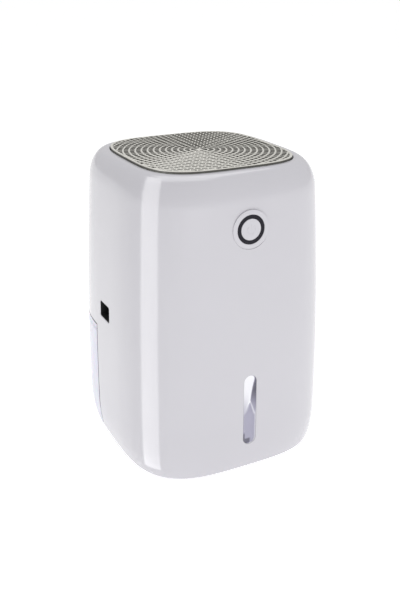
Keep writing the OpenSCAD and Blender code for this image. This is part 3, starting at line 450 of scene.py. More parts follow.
metal = {"Metallic": 1.0}
finishes = {
    "shell": finish("glossShell", (0.61, 0.60, 0.64), 0.15, spread=0.04, bump=0.010, smudge=0.03,
                    sockets={"Coat Weight": 0.3, "Coat Roughness": 0.05}),
    # grille: deep paints shade, darkening the colour to near black from z 0.21985 m down to 0.21935
    # m, so the gap walls and the border's side read as in shadow
    "grille": finish("champagneGrille", (0.70, 0.685, 0.635), 0.38, grain=2200.0, bump=0.05,
                     deep={"colour": (0.050, 0.046, 0.039), "plain": 0.21985, "full": 0.21935},
                     sockets={"Metallic": 0.1}),
    # grille band: a dark finish, painted shade for the plate's edge wall in shadow
    "grille_band": finish("grilleBand", (0.20, 0.20, 0.18), 0.42, grain=1800.0, bump=0.05,
                          sockets={"Metallic": 0.4}),
    "base": finish("basePlastic", (0.72, 0.72, 0.75), 0.42, grain=1500.0, bump=0.12),
    "rubber": finish("footRubber", (0.045, 0.045, 0.048), 0.75, grain=2600.0, bump=0.3, dust=0.25),
    "screw_steel": finish("screwSteel", (0.50, 0.50, 0.52), 0.32, grain=2400.0, bump=0.08,
                          sockets=metal),
    "cap": finish("buttonCap", (0.61, 0.60, 0.64), 0.16, bump=0.012, smudge=0.10,
                  sockets={"Coat Weight": 0.4, "Coat Roughness": 0.08}),
    "ring": finish("buttonRing", (0.010, 0.009, 0.016), 0.3, bump=0.02, smudge=0.12,
                   sockets={"Specular IOR Level": 0.22}),
    "black_plastic": finish("blackPlastic", (0.006, 0.006, 0.007), 0.5, grain=1600.0, bump=0.12,
                            dust=0.03, sockets={"Specular IOR Level": 0.2}),
    "inner_plastic": finish("innerPlastic", (0.60, 0.60, 0.62), 0.5, grain=1300.0, bump=0.12,
                            dust=0.1),
    "board": finish("solderMask", (0.012, 0.10, 0.045), 0.3, grain=700.0, drift=0.2, bump=0.06),
    "board_part": finish("boardParts", (0.06, 0.06, 0.065), 0.4, drift=0.15, bump=0.05),
    "led": finish("ledLens", (0.85, 0.9, 0.95), 0.12, bump=0.01, sockets={"IOR": 1.5}),
    "window": finish("windowGlass", (0.42, 0.41, 0.52), 0.08, spread=0.03, bump=0.006, smudge=0.03,
                     sockets={"Coat Weight": 0.8, "Coat Roughness": 0.03, "IOR": 1.49}),
    # tank: the shading along Y paints a shadow line on the plane y = 0.0189 m, the front face where
    # the gap to the casing falls in shade
    "tank": finish("tankPlastic", (0.80, 0.79, 0.91), 0.2, spread=0.05, bump=0.012, smudge=0.05,
                   paintedSeamShade={"colour": (0.10, 0.095, 0.20), "plane": 0.0189, "plain": 0.0005,
                          "full": 0.0002},
                   sockets={"Transmission Weight": 0.15, "IOR": 1.49, "Subsurface Weight": 0.25,
                            "Subsurface Scale": 0.004}),
    "contact": finish("contactMetal", (0.72, 0.68, 0.52), 0.25, grain=2600.0, bump=0.04,
                      sockets=metal),
    "steel": finish("groundSteel", (0.58, 0.58, 0.60), 0.22, grain=2600.0, bump=0.05,
                    sockets=metal),
    "foam_float": finish("floatFoam", (0.86, 0.83, 0.72), 0.7, grain=1500.0, bump=0.4),
    "magnet": finish("magnetPlate", (0.52, 0.52, 0.54), 0.25, grain=2000.0, bump=0.04,
                     sockets=metal),
    "aluminium": finish("finAluminium", (0.72, 0.73, 0.74), 0.35, grain=1800.0, bump=0.1, dust=0.08,
                        sockets=metal),
    "ceramic": finish("whiteCeramic", (0.85, 0.85, 0.83), 0.4, grain=1500.0, bump=0.08),
    "foam": finish("gasketFoam", (0.03, 0.03, 0.03), 0.9, grain=1900.0, bump=0.6),
    "nylon": finish("nylonWasher", (0.75, 0.70, 0.56), 0.45, grain=1200.0, bump=0.06),
    "bronze": finish("sinteredBronze", (0.42, 0.26, 0.11), 0.42, grain=3000.0, bump=0.15,
                     sockets=metal),
    "copper": finish("motorWinding", (0.45, 0.17, 0.06), 0.3, grain=2500.0, bump=0.2,
                     sockets={"Metallic": 0.7}),
    "lead_dark": finish("darkLead", (0.02, 0.02, 0.02), 0.4, grain=1500.0, bump=0.05),
    "lead_light": finish("lightLead", (0.70, 0.70, 0.70), 0.4, grain=1500.0, bump=0.05),
}
slotOf = {s["node"]: s["material_slot"] for s in frame["record"]["subparts"]}
for name, node in nodes.items():
    node.data.materials.clear()
    node.data.materials.append(finishes[slotOf[name]])
print("materials ready")


def stands(piece, node, body="housing", others=()):
    piece.data.materials.clear()
    piece.data.materials.append(finishes[slotOf[node]])
    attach(piece, body)
    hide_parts(node, *others)
    return piece


openings = {"grilleGap": 0.6, "grilleSquareness": 3.75, "ledgeReach": 3.5,
            "ledgeThickness": 2, "capGap": 0.07, "edge": 0.35, "windowFlange": 2.5,
            "inletFrame": 1.5, "inletRound": 1.5, "coverRound": 4.7, "tankFront": 18.9,
            "tankGap": 0.75}
# chamfer at the surface and depth of each cut through the wall
wallCuts = {"button": (0.06, 9), "window": (0.35, 9), "inlet": (0.3, 6), "cover": (0.3, 5)}
grilleA, grilleB, grilleTop = high("top_grille")
grilleSeat = low("grille_rim")[2]
buttonRadius, buttonZ = high("power_button")[0], middleOf("power_button")[2]
windowWidth, windowLength = sizeOf("level_window")[[0, 2]] - 2 * openings["windowFlange"]
windowZ = middleOf("level_window")[2]
coverWidth, coverHeight = sizeOf("rear_cover")[[0, 2]]
coverZ = middleOf("rear_cover")[2]
inletY, inletZ = middleOf("socket_recess")[1:]
inletWidth, inletHeight = sizeOf("socket_recess")[1:] - 2 * openings["inletFrame"]
tankFront, tankGap = openings["tankFront"], openings["tankGap"]
lidBottom, lidTop = low("tank_lid")[2], high("tank_lid")[2]
tankBottom = low("water_tank")[2]


def windowOutline(grow):
    o = roundedRect(windowWidth + 2 * grow, windowLength + 2 * grow, windowWidth / 2 + grow)
    return o + [0, windowZ]


def buttonOutline(grow):
    return circle(buttonRadius + openings["capGap"] + grow) + [0, buttonZ]


def inletOutline(grow):
    return roundedRect(inletWidth + 2 * grow, inletHeight + 2 * grow,
                       openings["inletRound"] + grow) + [inletY, inletZ]


def coverOutline(grow):
    return roundedRect(coverWidth + 2 * grow, coverHeight + 2 * grow,
                       openings["coverRound"] + grow, 16) + [0, coverZ]


def buildCasing():
    # a closed profile of soft squares: up the outside, over the shoulder, down the grille's pocket,
    # and down the inside
    wall, n = casing["wall"], casing["squareness"]
    edge = openings["edge"]
    rows = [(halfWidth(casingBottom, edge), halfDepth(casingBottom, edge), n, casingBottom),
            (halfWidth(casingBottom + edge, 0), halfDepth(casingBottom + edge, 0), n,
             casingBottom + edge)]
    foot = casing["bottomRoundHeight"] * (1 - np.sin(np.radians(np.arange(68, -1, -4))))
    middle = np.linspace(casing["bottomRoundHeight"], casingTop - casing["topRoundHeight"],
                         30)[1:-1]
    crown = casingTop - casing["topRoundHeight"] * (1 - np.sin(np.radians(np.arange(0, 91, 3))))
    outer = np.concatenate([foot, middle, crown])
    rows += [(halfWidth(z), halfDepth(z), n, z) for z in outer]
    pocketA, pocketB = grilleA + openings["grilleGap"], grilleB + openings["grilleGap"]
    m = openings["grilleSquareness"]
    for k in np.radians([90, 60, 30, 0]):
        rows.append((pocketA + edge * (1 - np.cos(k)), pocketB + edge * (1 - np.cos(k)), m,
                     casingTop - edge + edge * np.sin(k)))
    reach = openings["ledgeReach"] + openings["grilleGap"]
    ceiling = grilleSeat - openings["ledgeThickness"]
    rows += [(pocketA, pocketB, m, grilleSeat), (pocketA - reach, pocketB - reach, m, grilleSeat),
             (pocketA - reach, pocketB - reach, m, ceiling)]
    inner = np.concatenate([[ceiling], crown[(crown < ceiling - 1)][::-3], middle[::-3],
                            foot[::-3][1:]])
    rows += [(halfWidth(z, wall), halfDepth(z, wall), n, z) for z in inner]
    rows.append((halfWidth(casingBottom, wall), halfDepth(casingBottom, wall), n, casingBottom))
    shell = loft("casingShell", [at(softSquare(a, b, n), z) for a, b, n, z in rows], closed=True)
    far = casing["depth"]
    cut(shell, [box("bay", (-far, far), (tankFront - tankGap, far),
                    (-cutting["past"], lidTop + tankGap)),
                wallCutter(buttonOutline, *wallCuts["button"], "front"),
                wallCutter(windowOutline, *wallCuts["window"], "front"),
                wallCutter(inletOutline, *wallCuts["inlet"], "left"),
                wallCutter(coverOutline, *wallCuts["cover"], "back")])
    return stands(shell, "casing")


casingShell = buildCasing()


def buildInlet():
    # liner: a rounded frame from just under the wall's surface to the socket's face, closed round;
    # each row has the outline's growth, its depth under the surface, and a flat plane or none
    back = high("socket_recess")[0] - 1
    levels = [(-0.02, 0.35, None), (-0.5, 0.22, None), (-0.7, 0.6, None), (-0.7, 0, back),
              (1.5, 0, back), (1.5, 4.0, None), (-0.02, 4.0, None)]
    rings = [onWall(grown(inletOutline, grow, 1.2), depth, "left", plane)
             for grow, depth, plane in levels]
    return stands(loft("inletLiner", rings, closed=True), "socket_recess")


buildInlet()
print("casing", len(casingShell.data.polygons))


coverParts = {"thickness": 2.2, "across": 121, "up": 81, "slotWidth": 2.6, "slotLength": 24,
              "slotPitch": 7, "slotRows": 3, "slotColumns": 13, "slotChamfer": 0.3, "slotReach": 8,
              "rowGap": 5, "screwIn": 4.7, "screwSunk": 2.0, "wellRadius": 3.0, "wellHole": 1.6,
              "headRadius": 2.3, "headHeight": 1.0, "shankRadius": 1.2, "shankLength": 6,
              "crossReach": 1.5, "crossHalf": 0.28, "crossDepth": 0.75}


def screwSeats():
    # seat of each screw: in from the cover's corners, and sunk under the back surface there
    corners = np.array([[-1, -1], [-1, 1], [1, -1], [1, 1]])
    half = np.array([coverWidth / 2, coverHeight / 2]) - coverParts["screwIn"]
    x, z = (corners * half + [0, coverZ]).T
    return np.stack([x, surfaceY(x, z) - coverParts["screwSunk"], z], 1)


def buildRearCover():
    # a curved slab: a grid over the opening, laid on the back surface and doubled at its thickness
    u = np.linspace(-coverWidth / 2 - 1, coverWidth / 2 + 1, coverParts["across"])
    v = np.linspace(low("rear_cover")[2] - 1, high("rear_cover")[2] + 1, coverParts["up"])
    uu, vv = np.meshgrid(u, v)
    layers = [np.stack([uu, surfaceY(uu, vv, off), vv], -1).reshape(-1, 3)
              for off in (0, coverParts["thickness"])]
    rows, cols = uu.shape
    quad = sheetQuads(rows, cols)
    faces = np.concatenate([quad[:, ::-1], quad + rows * cols, rimFaces(rows, cols)])
    slab = outward(makePiece("rearCoverPanel", np.concatenate(layers), faces))
    outline = filled(coverOutline(0))
    frameCut = loft("frameCut", [onWall(outline, 0, "back", y)
                                 for y in (cutting["inside"], cutting["beyond"])])
    cut(slab, [frameCut], "INTERSECT")
    width, length = coverParts["slotWidth"], coverParts["slotLength"]
    step = length + coverParts["rowGap"]
    chamfer, reach = coverParts["slotChamfer"], coverParts["slotReach"]
    cutters = []

    def slotOutline(grow):
        return roundedRect(width + 2 * grow, length + 2 * grow, width / 2 + grow, 6)
    for r in range(coverParts["slotRows"]):
        for c in range(coverParts["slotColumns"]):
            centre = [(c - (coverParts["slotColumns"] - 1) / 2) * coverParts["slotPitch"],
                      coverZ + (r - (coverParts["slotRows"] - 1) / 2) * step]
            cutters.append(wallCutter(lambda grow: slotOutline(grow) + centre, chamfer, reach,
                                      "back", 6))
    well, hole, past = coverParts["wellRadius"], coverParts["wellHole"], cutting["past"]
    cutters += [turned("well", [(well, past), (well, 0), (hole, 0), (hole, -past)], seat, "y", 40)
                for seat in screwSeats()]
    cut(slab, cutters)
    return stands(slab, "rear_cover")


rearCover = buildRearCover()


def buildRearScrews():
    # screw: a turned pan head with a cross recess, on a plain shank
    r, h = coverParts["headRadius"], coverParts["headHeight"]
    shank, length = coverParts["shankRadius"], coverParts["shankLength"]
    long, half = coverParts["crossReach"], coverParts["crossHalf"]
    profile = [(0.01, -length), (shank, -length), (shank, 0), (r, 0), (r, h - 0.6),
               (r - 0.25, h - 0.25), (r - 0.8, h - 0.05), (0.01, h)]
    heads = []
    for x, y, z in screwSeats():
        head = turned("screw", profile, [x, y, z], "y", 40)
        span = (y + h - coverParts["crossDepth"], y + cutting["past"])
        for across, up in ((long, half), (half, long)):
            cut(head, [box("slot", (x - across, x + across), span, (z - up, z + up))])
        heads.append(head)
    return stands(joined("rearScrew", heads), "rear_screws")


buildRearScrews()
print("rear cover", len(rearCover.data.polygons))


grille = {"pitch": 4.4, "land": 1.3, "lean": 0.25, "depth": 3.0, "bar": 1.25, "border": 1.7,
          "edge": 0.45, "slope": 0.2, "round": 0.12, "sink": 0.16, "barTaper": 0.75, "barLap": 0.25,
          "bandTop": 0.9, "bandInset": 0.12, "bandThickness": 0.85}
grilleInnerA = grilleA - grille["border"] + 0.4  # the rings and bars run this far, into the border
grilleInnerB = grilleB - grille["border"] + 0.4
grilleRings = int(math.hypot(grilleA, grilleB) / grille["pitch"])


def grilleReach(angle, a, b):
    m = openings["grilleSquareness"]
    return (np.abs(np.cos(angle) / a) ** m + np.abs(np.sin(angle) / b) ** m) ** (-1 / m)


def grilleBorder():
    # border: a closed profile of soft squares with a rounded outer edge
    a, b, m = grilleA, grilleB, openings["grilleSquareness"]
    top, edge, border = grilleTop, grille["edge"], grille["border"]
    lip, under = top - grille["bandTop"], top - grille["depth"]
    t = np.radians([0, 30, 60, 90])
    rows = [(a - 1, b - 1, under), (a - 1, b - 1, lip), (a, b, lip)]
    rows += [(a - edge + edge * np.cos(k), b - edge + edge * np.cos(k),
              top - edge + edge * np.sin(k)) for k in t]
    rows += [(a - border + 0.2, b - border + 0.2, top), (a - border, b - border, top - 0.2),
             (a - border, b - border, under)]
    return loft("border", [at(softSquare(p, q, m), z) for p, q, z in rows], closed=True)


def ringSpans(radius):
    # the runs of angles, to an eighth of a degree, over which a circle stays inside the border
    fine = np.linspace(0, 2 * np.pi, 2881)[:-1]
    inside = grilleReach(fine, grilleInnerA, grilleInnerB) > radius
    if inside.all():
        return [(0, 2 * np.pi, True)]
    starts = np.where(inside & ~np.roll(inside, 1))[0]
    ends = np.where(inside & ~np.roll(inside, -1))[0]
    spans = []
    for s in starts:
        e = ends[ends >= s]
        spans.append((fine[s], fine[e[0]] if len(e) else fine[ends[0]] + 2 * np.pi, False))
    return spans


def ringPieces():
    # rings: a leaning profile, its top sloping down outwards, carried round the centre
    land, lean, drop = grille["land"], grille["lean"], grille["slope"]
    foot, bevel = 0.1 - grille["depth"], grille["round"]
    pieces = []
    for k in range(1, grilleRings + 1):
        r0 = (k - 0.5) * grille["pitch"] - land / 2
        r, z = np.array([(r0 + 0.1, 0), (r0 + land - 0.1, -drop), (r0 + land, -drop - bevel),
                         (r0 + land + lean, foot), (r0 + lean, foot), (r0, -bevel)]).T
        for start, end, full in ringSpans(r0 + land):
            count = max(6, int((end - start) * r0 / 1.1))
            w = np.linspace(start, end, count + 1)[:count if full else count + 1, None]
            rings = np.stack([r * np.cos(w), r * np.sin(w), grilleTop + z + 0 * w], -1)
            pieces.append(loft("ring", rings, closed=full))
    return pieces


def grilleBars():
    # bars: short blades from one ring to the next, each ring's set half a step round from the last
    pitch, land, lap = grille["pitch"], grille["land"], grille["barLap"]
    blades = []
    for k in range(1, grilleRings + 1):
        angle = (np.arange(6 * k) + 0.5 + (k % 2) / 2) * np.pi / (3 * k)
        r0 = (k - 0.5) * pitch + land / 2 - lap
        r1 = np.minimum((k + 0.5) * pitch - land / 2 + lap,
                        grilleReach(angle, grilleInnerA, grilleInnerB))
        keep = r1 > r0 + 0.5
        angle, r1 = angle[keep], r1[keep]
        if not len(angle):
            continue
        near = np.full(len(angle), r0)
        out = np.stack([np.cos(angle), np.sin(angle)], 1)
        across = np.stack([-out[:, 1], out[:, 0]], 1) * grille["bar"] / 2
        corner = []
        for z, share in ((grilleTop - grille["depth"] + 0.2, 1),
                         (grilleTop - grille["sink"], grille["barTaper"])):
            for r, side in ((near, -1), (r1, -1), (r1, 1), (near, 1)):
                p = out * r[:, None] + side * across * share
                corner.append(at(p, z))
        blades.append(np.stack(corner, 1).reshape(-1, 3))
    points = np.concatenate(blades)
    one = np.array([[3, 2, 1, 0], [4, 5, 6, 7], [0, 1, 5, 4], [1, 2, 6, 5], [2, 3, 7, 6],
                    [3, 0, 4, 7]])
    faces = (np.arange(len(points) // 8)[:, None, None] * 8 + one).reshape(-1, 4)
    return makePiece("bars", points, faces, smooth=False)


def buildGrille():
    # the border, the rings, the bars and a small round boss in the middle, as one plate
    r, foot = grille["pitch"] / 2 + grille["land"] / 2 - 0.1, 0.1 - grille["depth"]
    boss = turned("boss", [(0.01, foot), (r, foot), (r, -0.4), (r - 0.4, 0), (0.01, 0)],
                  [0, 0, grilleTop], "z", 48)
    return stands(joined("grillePlate", [grilleBorder(), *ringPieces(), grilleBars(), boss]),
                  "top_grille")


grillePlate = buildGrille()
shadeSmooth(grillePlate, 40)
print("grille", len(grillePlate.data.polygons))


def buildGrilleRim():
    # band: a closed profile of soft squares just inside the plate's edge; its dark finish is
    # painted shade, standing for the plate's edge wall in shadow under the lip
    inset, inner = grille["bandInset"], grille["bandInset"] + grille["bandThickness"]
    z0, z1 = grilleSeat, grilleTop - grille["bandTop"]
    rings = [at(softSquare(grilleA - p, grilleB - p, openings["grilleSquareness"]), z)
             for p, z in ((inset, z0), (inset, z1), (inner, z1), (inner, z0))]
    return stands(loft("grilleBand", rings, closed=True), "grille_rim")


buildGrilleRim()


button = {"edge": 0.12, "ringOuter": 10.2, "ringInner": 7.48, "ringDepth": 0.8, "markRadius": 3.0,
          "markLine": 0.42, "markDepth": 0.10, "markOpen": 36, "thickness": 3.2, "skirtDepth": 9.2,
          "skirtIn": 1.5, "skirtWall": 1.6}
capFront = low("power_button")[1]


def buildButton():
    # cap: a turned profile, flat in front, with a rounded edge, a groove for the ring and a skirt
    r, e, fit = buttonRadius, button["edge"], 0.05
    ro, ri, d = button["ringOuter"] + fit, button["ringInner"] - fit, button["ringDepth"]
    back, deep = button["thickness"], button["skirtDepth"]
    skirt = r - button["skirtIn"]
    bore = skirt - button["skirtWall"]
    t = np.radians(np.arange(90, -1, -15))
    profile = [(0.01, 0), (ri - 0.15, 0), (ri, 0.15), (ri, d), (ro, d), (ro, 0.15), (ro + 0.15, 0)]
    profile += [(r - e + e * math.cos(k), e - e * math.sin(k)) for k in t]
    profile += [(r, back), (skirt, back), (skirt, deep), (bore, deep), (bore, back), (0.01, back)]
    cap = turned("buttonFace", profile[::-1], [0, capFront, buttonZ], "y", 128)
    # mark: a shallow open ring and a bar through its opening, pressed into the face
    rm, half, press = button["markRadius"], button["markLine"] / 2, button["markDepth"]
    w = np.radians(np.linspace(90 + button["markOpen"], 450 - button["markOpen"], 65))[:, None]
    p, y = np.array([(rm - half, -1), (rm + half, -1), (rm + half, press), (rm - half, press)]).T
    arc = np.stack([p * np.cos(w), capFront + y + 0 * w, buttonZ + p * np.sin(w)], -1)
    cut(cap, [loft("markArc", arc), box("markBar", (-half, half), (capFront - 1, capFront + press),
                                        (buttonZ + 0.4 * rm, buttonZ + 1.25 * rm))])
    stands(cap, "power_button", "push_button")
    profile = [(ri + 0.1, d), (ri + 0.1, 0.12), (ri + 0.3, -0.02), (ro - 0.3, -0.02),
               (ro - 0.1, 0.12), (ro - 0.1, d)]
    ring = turned("buttonInlay", profile, [0, capFront, buttonZ], "y", 128, closed=True)
    stands(ring, "button_ring", "push_button")


buildButton()


# window look: dark, even and bright are the colours of the painted reflections, painted highlights
# and painted shade seen in the window
windowLook = {"sunk": 0.45, "deep": 1.5, "turn": 0.62, "end": 0.42, "across": 28, "along": 120,
              "gap": 0.12, "back": 4.2, "paintedLightShare": 0.88, "dark": (0.018, 0.015, 0.045, 1),
              "even": (0.36, 0.35, 0.46, 1), "evenAt": 0.46, "bright": (0.96, 0.96, 1.0, 1)}


# divide: the curve between the painted highlight and the painted shade, from the top right, through
# the middle at `turn`, to the left edge at `end`, as shares of the length
def divideAt(v):
    turn, end = windowLook["turn"], windowLook["end"]
    upper = 0.10 + 0.75 * np.clip((v - turn) / (1 - turn), 0, 1) ** 1.2
    lower = -1.05 + 1.15 * np.clip((v - end) / (turn - end), 0, 1) ** 0.6
    return np.where(v > turn, upper, lower)


def smooth(x, a, b):
    t = np.clip((x - a) / (b - a), 0, 1)
    return t * t * (3 - 2 * t)


# painted reflection: painted highlight left of the divide, painted shade right of it near the top,
# even below, painted shade low on the left; u runs across from -1 to 1 and v up from 0 to 1, and
# the sums are shares of full brightness
def windowPaintedLight(u, v):
    turn, end = windowLook["turn"], windowLook["end"]
    gap = u - divideAt(v)
    bright = 0.58 + 0.42 * smooth(v, end, 0.82) + 0.22 * smooth(u, -0.9, 0.1) * smooth(v, 0.8, 0.5)
    right = 0.02 + 0.40 * smooth(v, 0.78, 0.50) + 0.16 * smooth(gap, 0.40, 0.05)
    right = right + 0.35 * smooth(v, 0.93, 1.0)
    paintedLight = np.where(v > end, right + (bright - right) * smooth(gap, 0.10, -0.10), 0.46)
    paintedLight = 0.46 + (paintedLight - 0.46) * smooth(v, end - 0.01, end + 0.05)
    ridge = np.exp(-(gap / 0.12) ** 2) * smooth(v, turn - 0.06, turn) * 0.5
    branch = u - (0.10 + 0.75 * np.clip((turn - v) / 0.20, 0, 1) ** 0.8)
    ridge = ridge + (np.exp(-(branch / 0.10) ** 2) * smooth(v, turn - 0.22, turn - 0.17)
                     * (v < turn) * 0.4)
    dark = (smooth(v, 0.085, 0.06) * smooth(u, 0.5, 0.0)
            + smooth(u, -0.5, -0.75) * smooth(v, 0.18, 0.13))
    rim = smooth(u, 0.80, 0.97) * smooth(v, 0.55, 0.4) * 0.3 + smooth(v, 0.02, 0.0) * 0.5
    return np.clip((paintedLight + ridge) * (1 - 0.85 * np.clip(dark, 0, 1)) + rim, 0, 1)


def windowHalf(z):
    # half the slot's width at a height: a half circle at each end of a straight middle
    r = windowWidth / 2 - windowLook["gap"]
    over = np.clip(np.abs(z - windowZ) - (windowLength / 2 - windowWidth / 2), 0, r * 0.998)
    return np.sqrt(r ** 2 - over ** 2)


def buildWindow():
    # a grid across and along the slot, laid under the front surface and dished between its edges:
    # depth = sunk + deep * (1 - u^4)(1 - w^8), less where the painted highlight is bright, doubled
    # for its back
    u = np.linspace(-1, 1, windowLook["across"])
    w = np.sin(np.linspace(-np.pi / 2, np.pi / 2, windowLook["along"]))
    uu, ww = np.meshgrid(u, w)
    z = windowZ + ww * (windowLength / 2 - windowLook["gap"])
    x = uu * windowHalf(z)
    v = (ww + 1) / 2
    dish = (1 - uu ** 4) * (1 - ww ** 8)
    depth = windowLook["sunk"] + windowLook["deep"] * dish * (1 - 0.5 * windowPaintedLight(uu, v))
    front = np.stack([x, -(surfaceY(x, z) - depth), z], -1).reshape(-1, 3)
    back = np.stack([x, -(surfaceY(x, z) - windowLook["back"]), z], -1).reshape(-1, 3)
    rows, cols = uu.shape
    quad = sheetQuads(rows, cols)
    lens = outward(makePiece("windowLens", np.concatenate([front, back]),
                             np.concatenate([quad, quad[:, ::-1] + rows * cols,
                                             rimFaces(rows, cols)])))
    x, _, z = readBack(lens.data.vertices, "co", 3).T * 1000
    # the painted highlights and shade are kept on the points as an attribute
    paintedLight = windowPaintedLight(x / windowHalf(z), (z - windowZ) / windowLength + 0.5)
    layer = lens.data.attributes.new("paintedLight", "FLOAT", "POINT")
    layer.data.foreach_set("value", paintedLight.astype(np.float32))
    shadeSmooth(lens, 60)
    stands(lens, "level_window")


def paintWindowLight():
    # the window's colour: a ramp over the painted reflections and shade, with a little of the
    # moulded colour mixed in
    tree = finishes["window"].node_tree
    main = tree.nodes["Principled BSDF"]
    layer, ramp = addNode(tree, "Attribute"), addNode(tree, "ValToRGB")
    layer.attribute_name = "paintedLight"
    ramp.color_ramp.elements[0].color = windowLook["dark"]
    ramp.color_ramp.elements[1].color = windowLook["bright"]
    ramp.color_ramp.elements.new(windowLook["evenAt"]).color = windowLook["even"]
    over = colourMix(tree, {"Factor": 1 - windowLook["paintedLightShare"]})
    made = main.inputs["Base Color"].links[0].from_socket
    wire(tree, (layer.outputs["Fac"], ramp.inputs["Fac"]),
         (ramp.outputs["Color"], over.inputs["A"]),
         (made, over.inputs["B"]), (over.outputs["Result"], main.inputs["Base Color"]))


buildWindow()
paintWindowLight()
print("window ready")


# the last entry is the largest face area that takes the lid's painted shadow band
tank = {"wall": 2.2, "noseHalf": 35, "noseRadius": 6, "gripWidth": 46, "gripHeight": 18,
        "gripDepth": 11, "gripZ": 58, "lidThickness": 2, "dripY": 44, "dripRadius": 9,
        "gripRound": 3, "gripChamfer": 0.8, "edge": 0.4, "lidGap": 0.15, "paintedShadowBandArea": 4e-5}
noseFront = low("water_tank")[1]


# tank plan: the casing's curve behind the front line, a straight front and a round-cornered nose
def tankOutline(z, off, arcCount=220, noseSteps=8):
    n = casing["squareness"]
    a, b = float(halfWidth(z, off)), float(halfDepth(z, off))
    y0 = tankFront + off
    dense = softSquare(a, b, n, 4000)
    angle = np.arctan2(dense[:, 1], dense[:, 0])
    dense = dense[np.argsort(angle)]
    arc = dense[dense[:, 1] > y0]
    side = float(surfaceX(y0, z, off))
    arc = np.concatenate([[[side, y0]], arc, [[-side, y0]]])
    run = runOf(arc)
    arc = placesAt(arc, run, np.linspace(0, run[-1], arcCount))
    half, r, front = tank["noseHalf"] - off, tank["noseRadius"] - off, noseFront + off
    t = np.radians(np.linspace(180, 270, noseSteps))
    left = np.stack([-half + r + r * np.cos(t), front + r + r * np.sin(t)], 1)
    right = left[::-1] * [-1, 1]
    return np.concatenate([arc, [[-half, y0]], left, right, [[half, y0]]])


def buildTank():
    # body: up the outside, over the rim and down the inside, with a lined recess for the grip
    wall, e = tank["wall"], tank["edge"]
    top = lidBottom - tank["lidGap"]
    foot = [z for z in casing["bottomRoundHeight"] * (1 - np.sin(np.radians(np.arange(50, -1, -5))))
            if z > tankBottom + 1]
    middle = list(np.linspace(casing["bottomRoundHeight"], top - e, 12)[1:])
    outer = [(tankBottom, e), (tankBottom + e, 0)] + [(z, 0) for z in foot + middle] + [(top, e)]
    inner = [(top, wall - 0.2)] + [(z, wall) for z in (middle[::-1] + foot[::-1])[::3]]
    inner += [(tankBottom + wall, wall)]
    body = loft("tankBody", [at(tankOutline(z, off), z) for z, off in outer + inner])

    def gripOutline(grow):
        return roundedRect(tank["gripWidth"] + 2 * grow, tank["gripHeight"] + 2 * grow,
                           tank["gripRound"] + grow) + [0, tank["gripZ"]]
    outline = filled(gripOutline(wall))
    plane = float(halfDepth(tank["gripZ"])) - tank["gripDepth"] - wall
    cut(body, [loft("liner", [onWall(outline, 0.6, "back"), onWall(outline, 0, "back", plane)])],
        "UNION")
    cut(body, [wallCutter(gripOutline, tank["gripChamfer"], tank["gripDepth"], "back")])
    stands(body, "water_tank", "tank")


def buildLid():
    # lid: a closed-off stack of the tank's plans, with a rounded edge and a countersunk drip hole
    rows = [(lidTop - tank["lidThickness"], tank["wall"]), (lidBottom, tank["wall"]),
            (lidBottom, 0.3), (lidBottom + 0.3, 0), (lidTop - 1.2, 0), (lidTop - 0.35, 0.1),
            (lidTop, 0.45), (lidTop, 1.8)]
    lid = loft("tankLid", [at(tankOutline(z, off), z) for z, off in rows])
    radius = tank["dripRadius"]
    cut(lid, [turned("drip", [(radius + 1, 3), (radius, 0), (radius, -cutting["past"])],
                     [0, tank["dripY"], lidTop - 0.9], "z", 64)])
    stands(lid, "tank_lid", "tank")
    # painted shadow: the small faces of the outer band on top, clear of the drip hole, are dark,
    # standing for the shadow in the gap between the lid and the casing
    lid.data.materials.append(finishes["rubber"])
    x, y, z = readBack(lid.data.polygons, "center", 3).T * 1000
    facing = readBack(lid.data.polygons, "normal", 3)[:, 2]
    area = readBack(lid.data.polygons, "area", 1)[:, 0]
    paintedShadowBand = (z > lidTop - 0.2) & (facing > 0.5) & (area < tank["paintedShadowBandArea"])
    away = np.hypot(x, y - tank["dripY"]) > radius + 3
    lid.data.polygons.foreach_set("material_index", (paintedShadowBand & away).astype(np.int32))


buildTank()
buildLid()
print("tank ready")


base = {"top": 5.7, "footRadius": 7, "feet": [(42, -46), (50, 50)], "posts": [(53, -52), (62, 8)],
        "screwWell": 3.2, "screwHole": 1.8, "wellDepth": 2, "footSeat": 1.2, "footGap": 0.15}


def baseOutline(z):
    # the casing's own curve behind the tank's front line and its inner curve before it
    rear = softSquare(float(halfWidth(z)), float(halfDepth(z)), casing["squareness"])
    off = casing["wall"] + 0.3
    front = softSquare(float(halfWidth(z, off)), float(halfDepth(z, off)), casing["squareness"])
    return np.where((rear[:, 1] > tankFront)[:, None], rear, front)


def buildBase():
    z0, seat, r = casingBottom, base["footSeat"], base["footRadius"]
    rings = [at(baseOutline(z), z) for z in (z0, z0 + 1, z0 + 2, z0 + 3, base["top"])]
    plate = loft("baseFloor", rings)
    well, hole, depth = base["screwWell"], base["screwHole"], base["wellDepth"]
    screw = [(well, -3), (well, depth), (hole, depth), (hole, cutting["past"])]
    pad = [(r + base["footGap"], -3), (r + base["footGap"], seat)]
    wells = []
    for s in (-1, 1):
        wells += [turned("well", screw, [s * x, y, z0], "z", 32) for x, y in base["posts"]]
        wells += [turned("well", pad, [s * x, y, z0], "z", 48) for x, y in base["feet"]]
    cut(plate, wells)
    stands(plate, "base_plate")
    profile = [(0.01, 0), (r - 2, 0), (r - 2, 0.25), (r - 1.6, 0.25), (r - 1.6, 0), (r - 0.4, 0),
               (r, 0.4), (r, z0 + seat), (0.01, z0 + seat)]
    feet = [turned("foot", profile, [s * x, y, 0], "z", 64)
            for s in (-1, 1) for x, y in base["feet"]]
    stands(joined("rubberFoot", feet), "rubber_feet")


buildBase()
print("base ready")


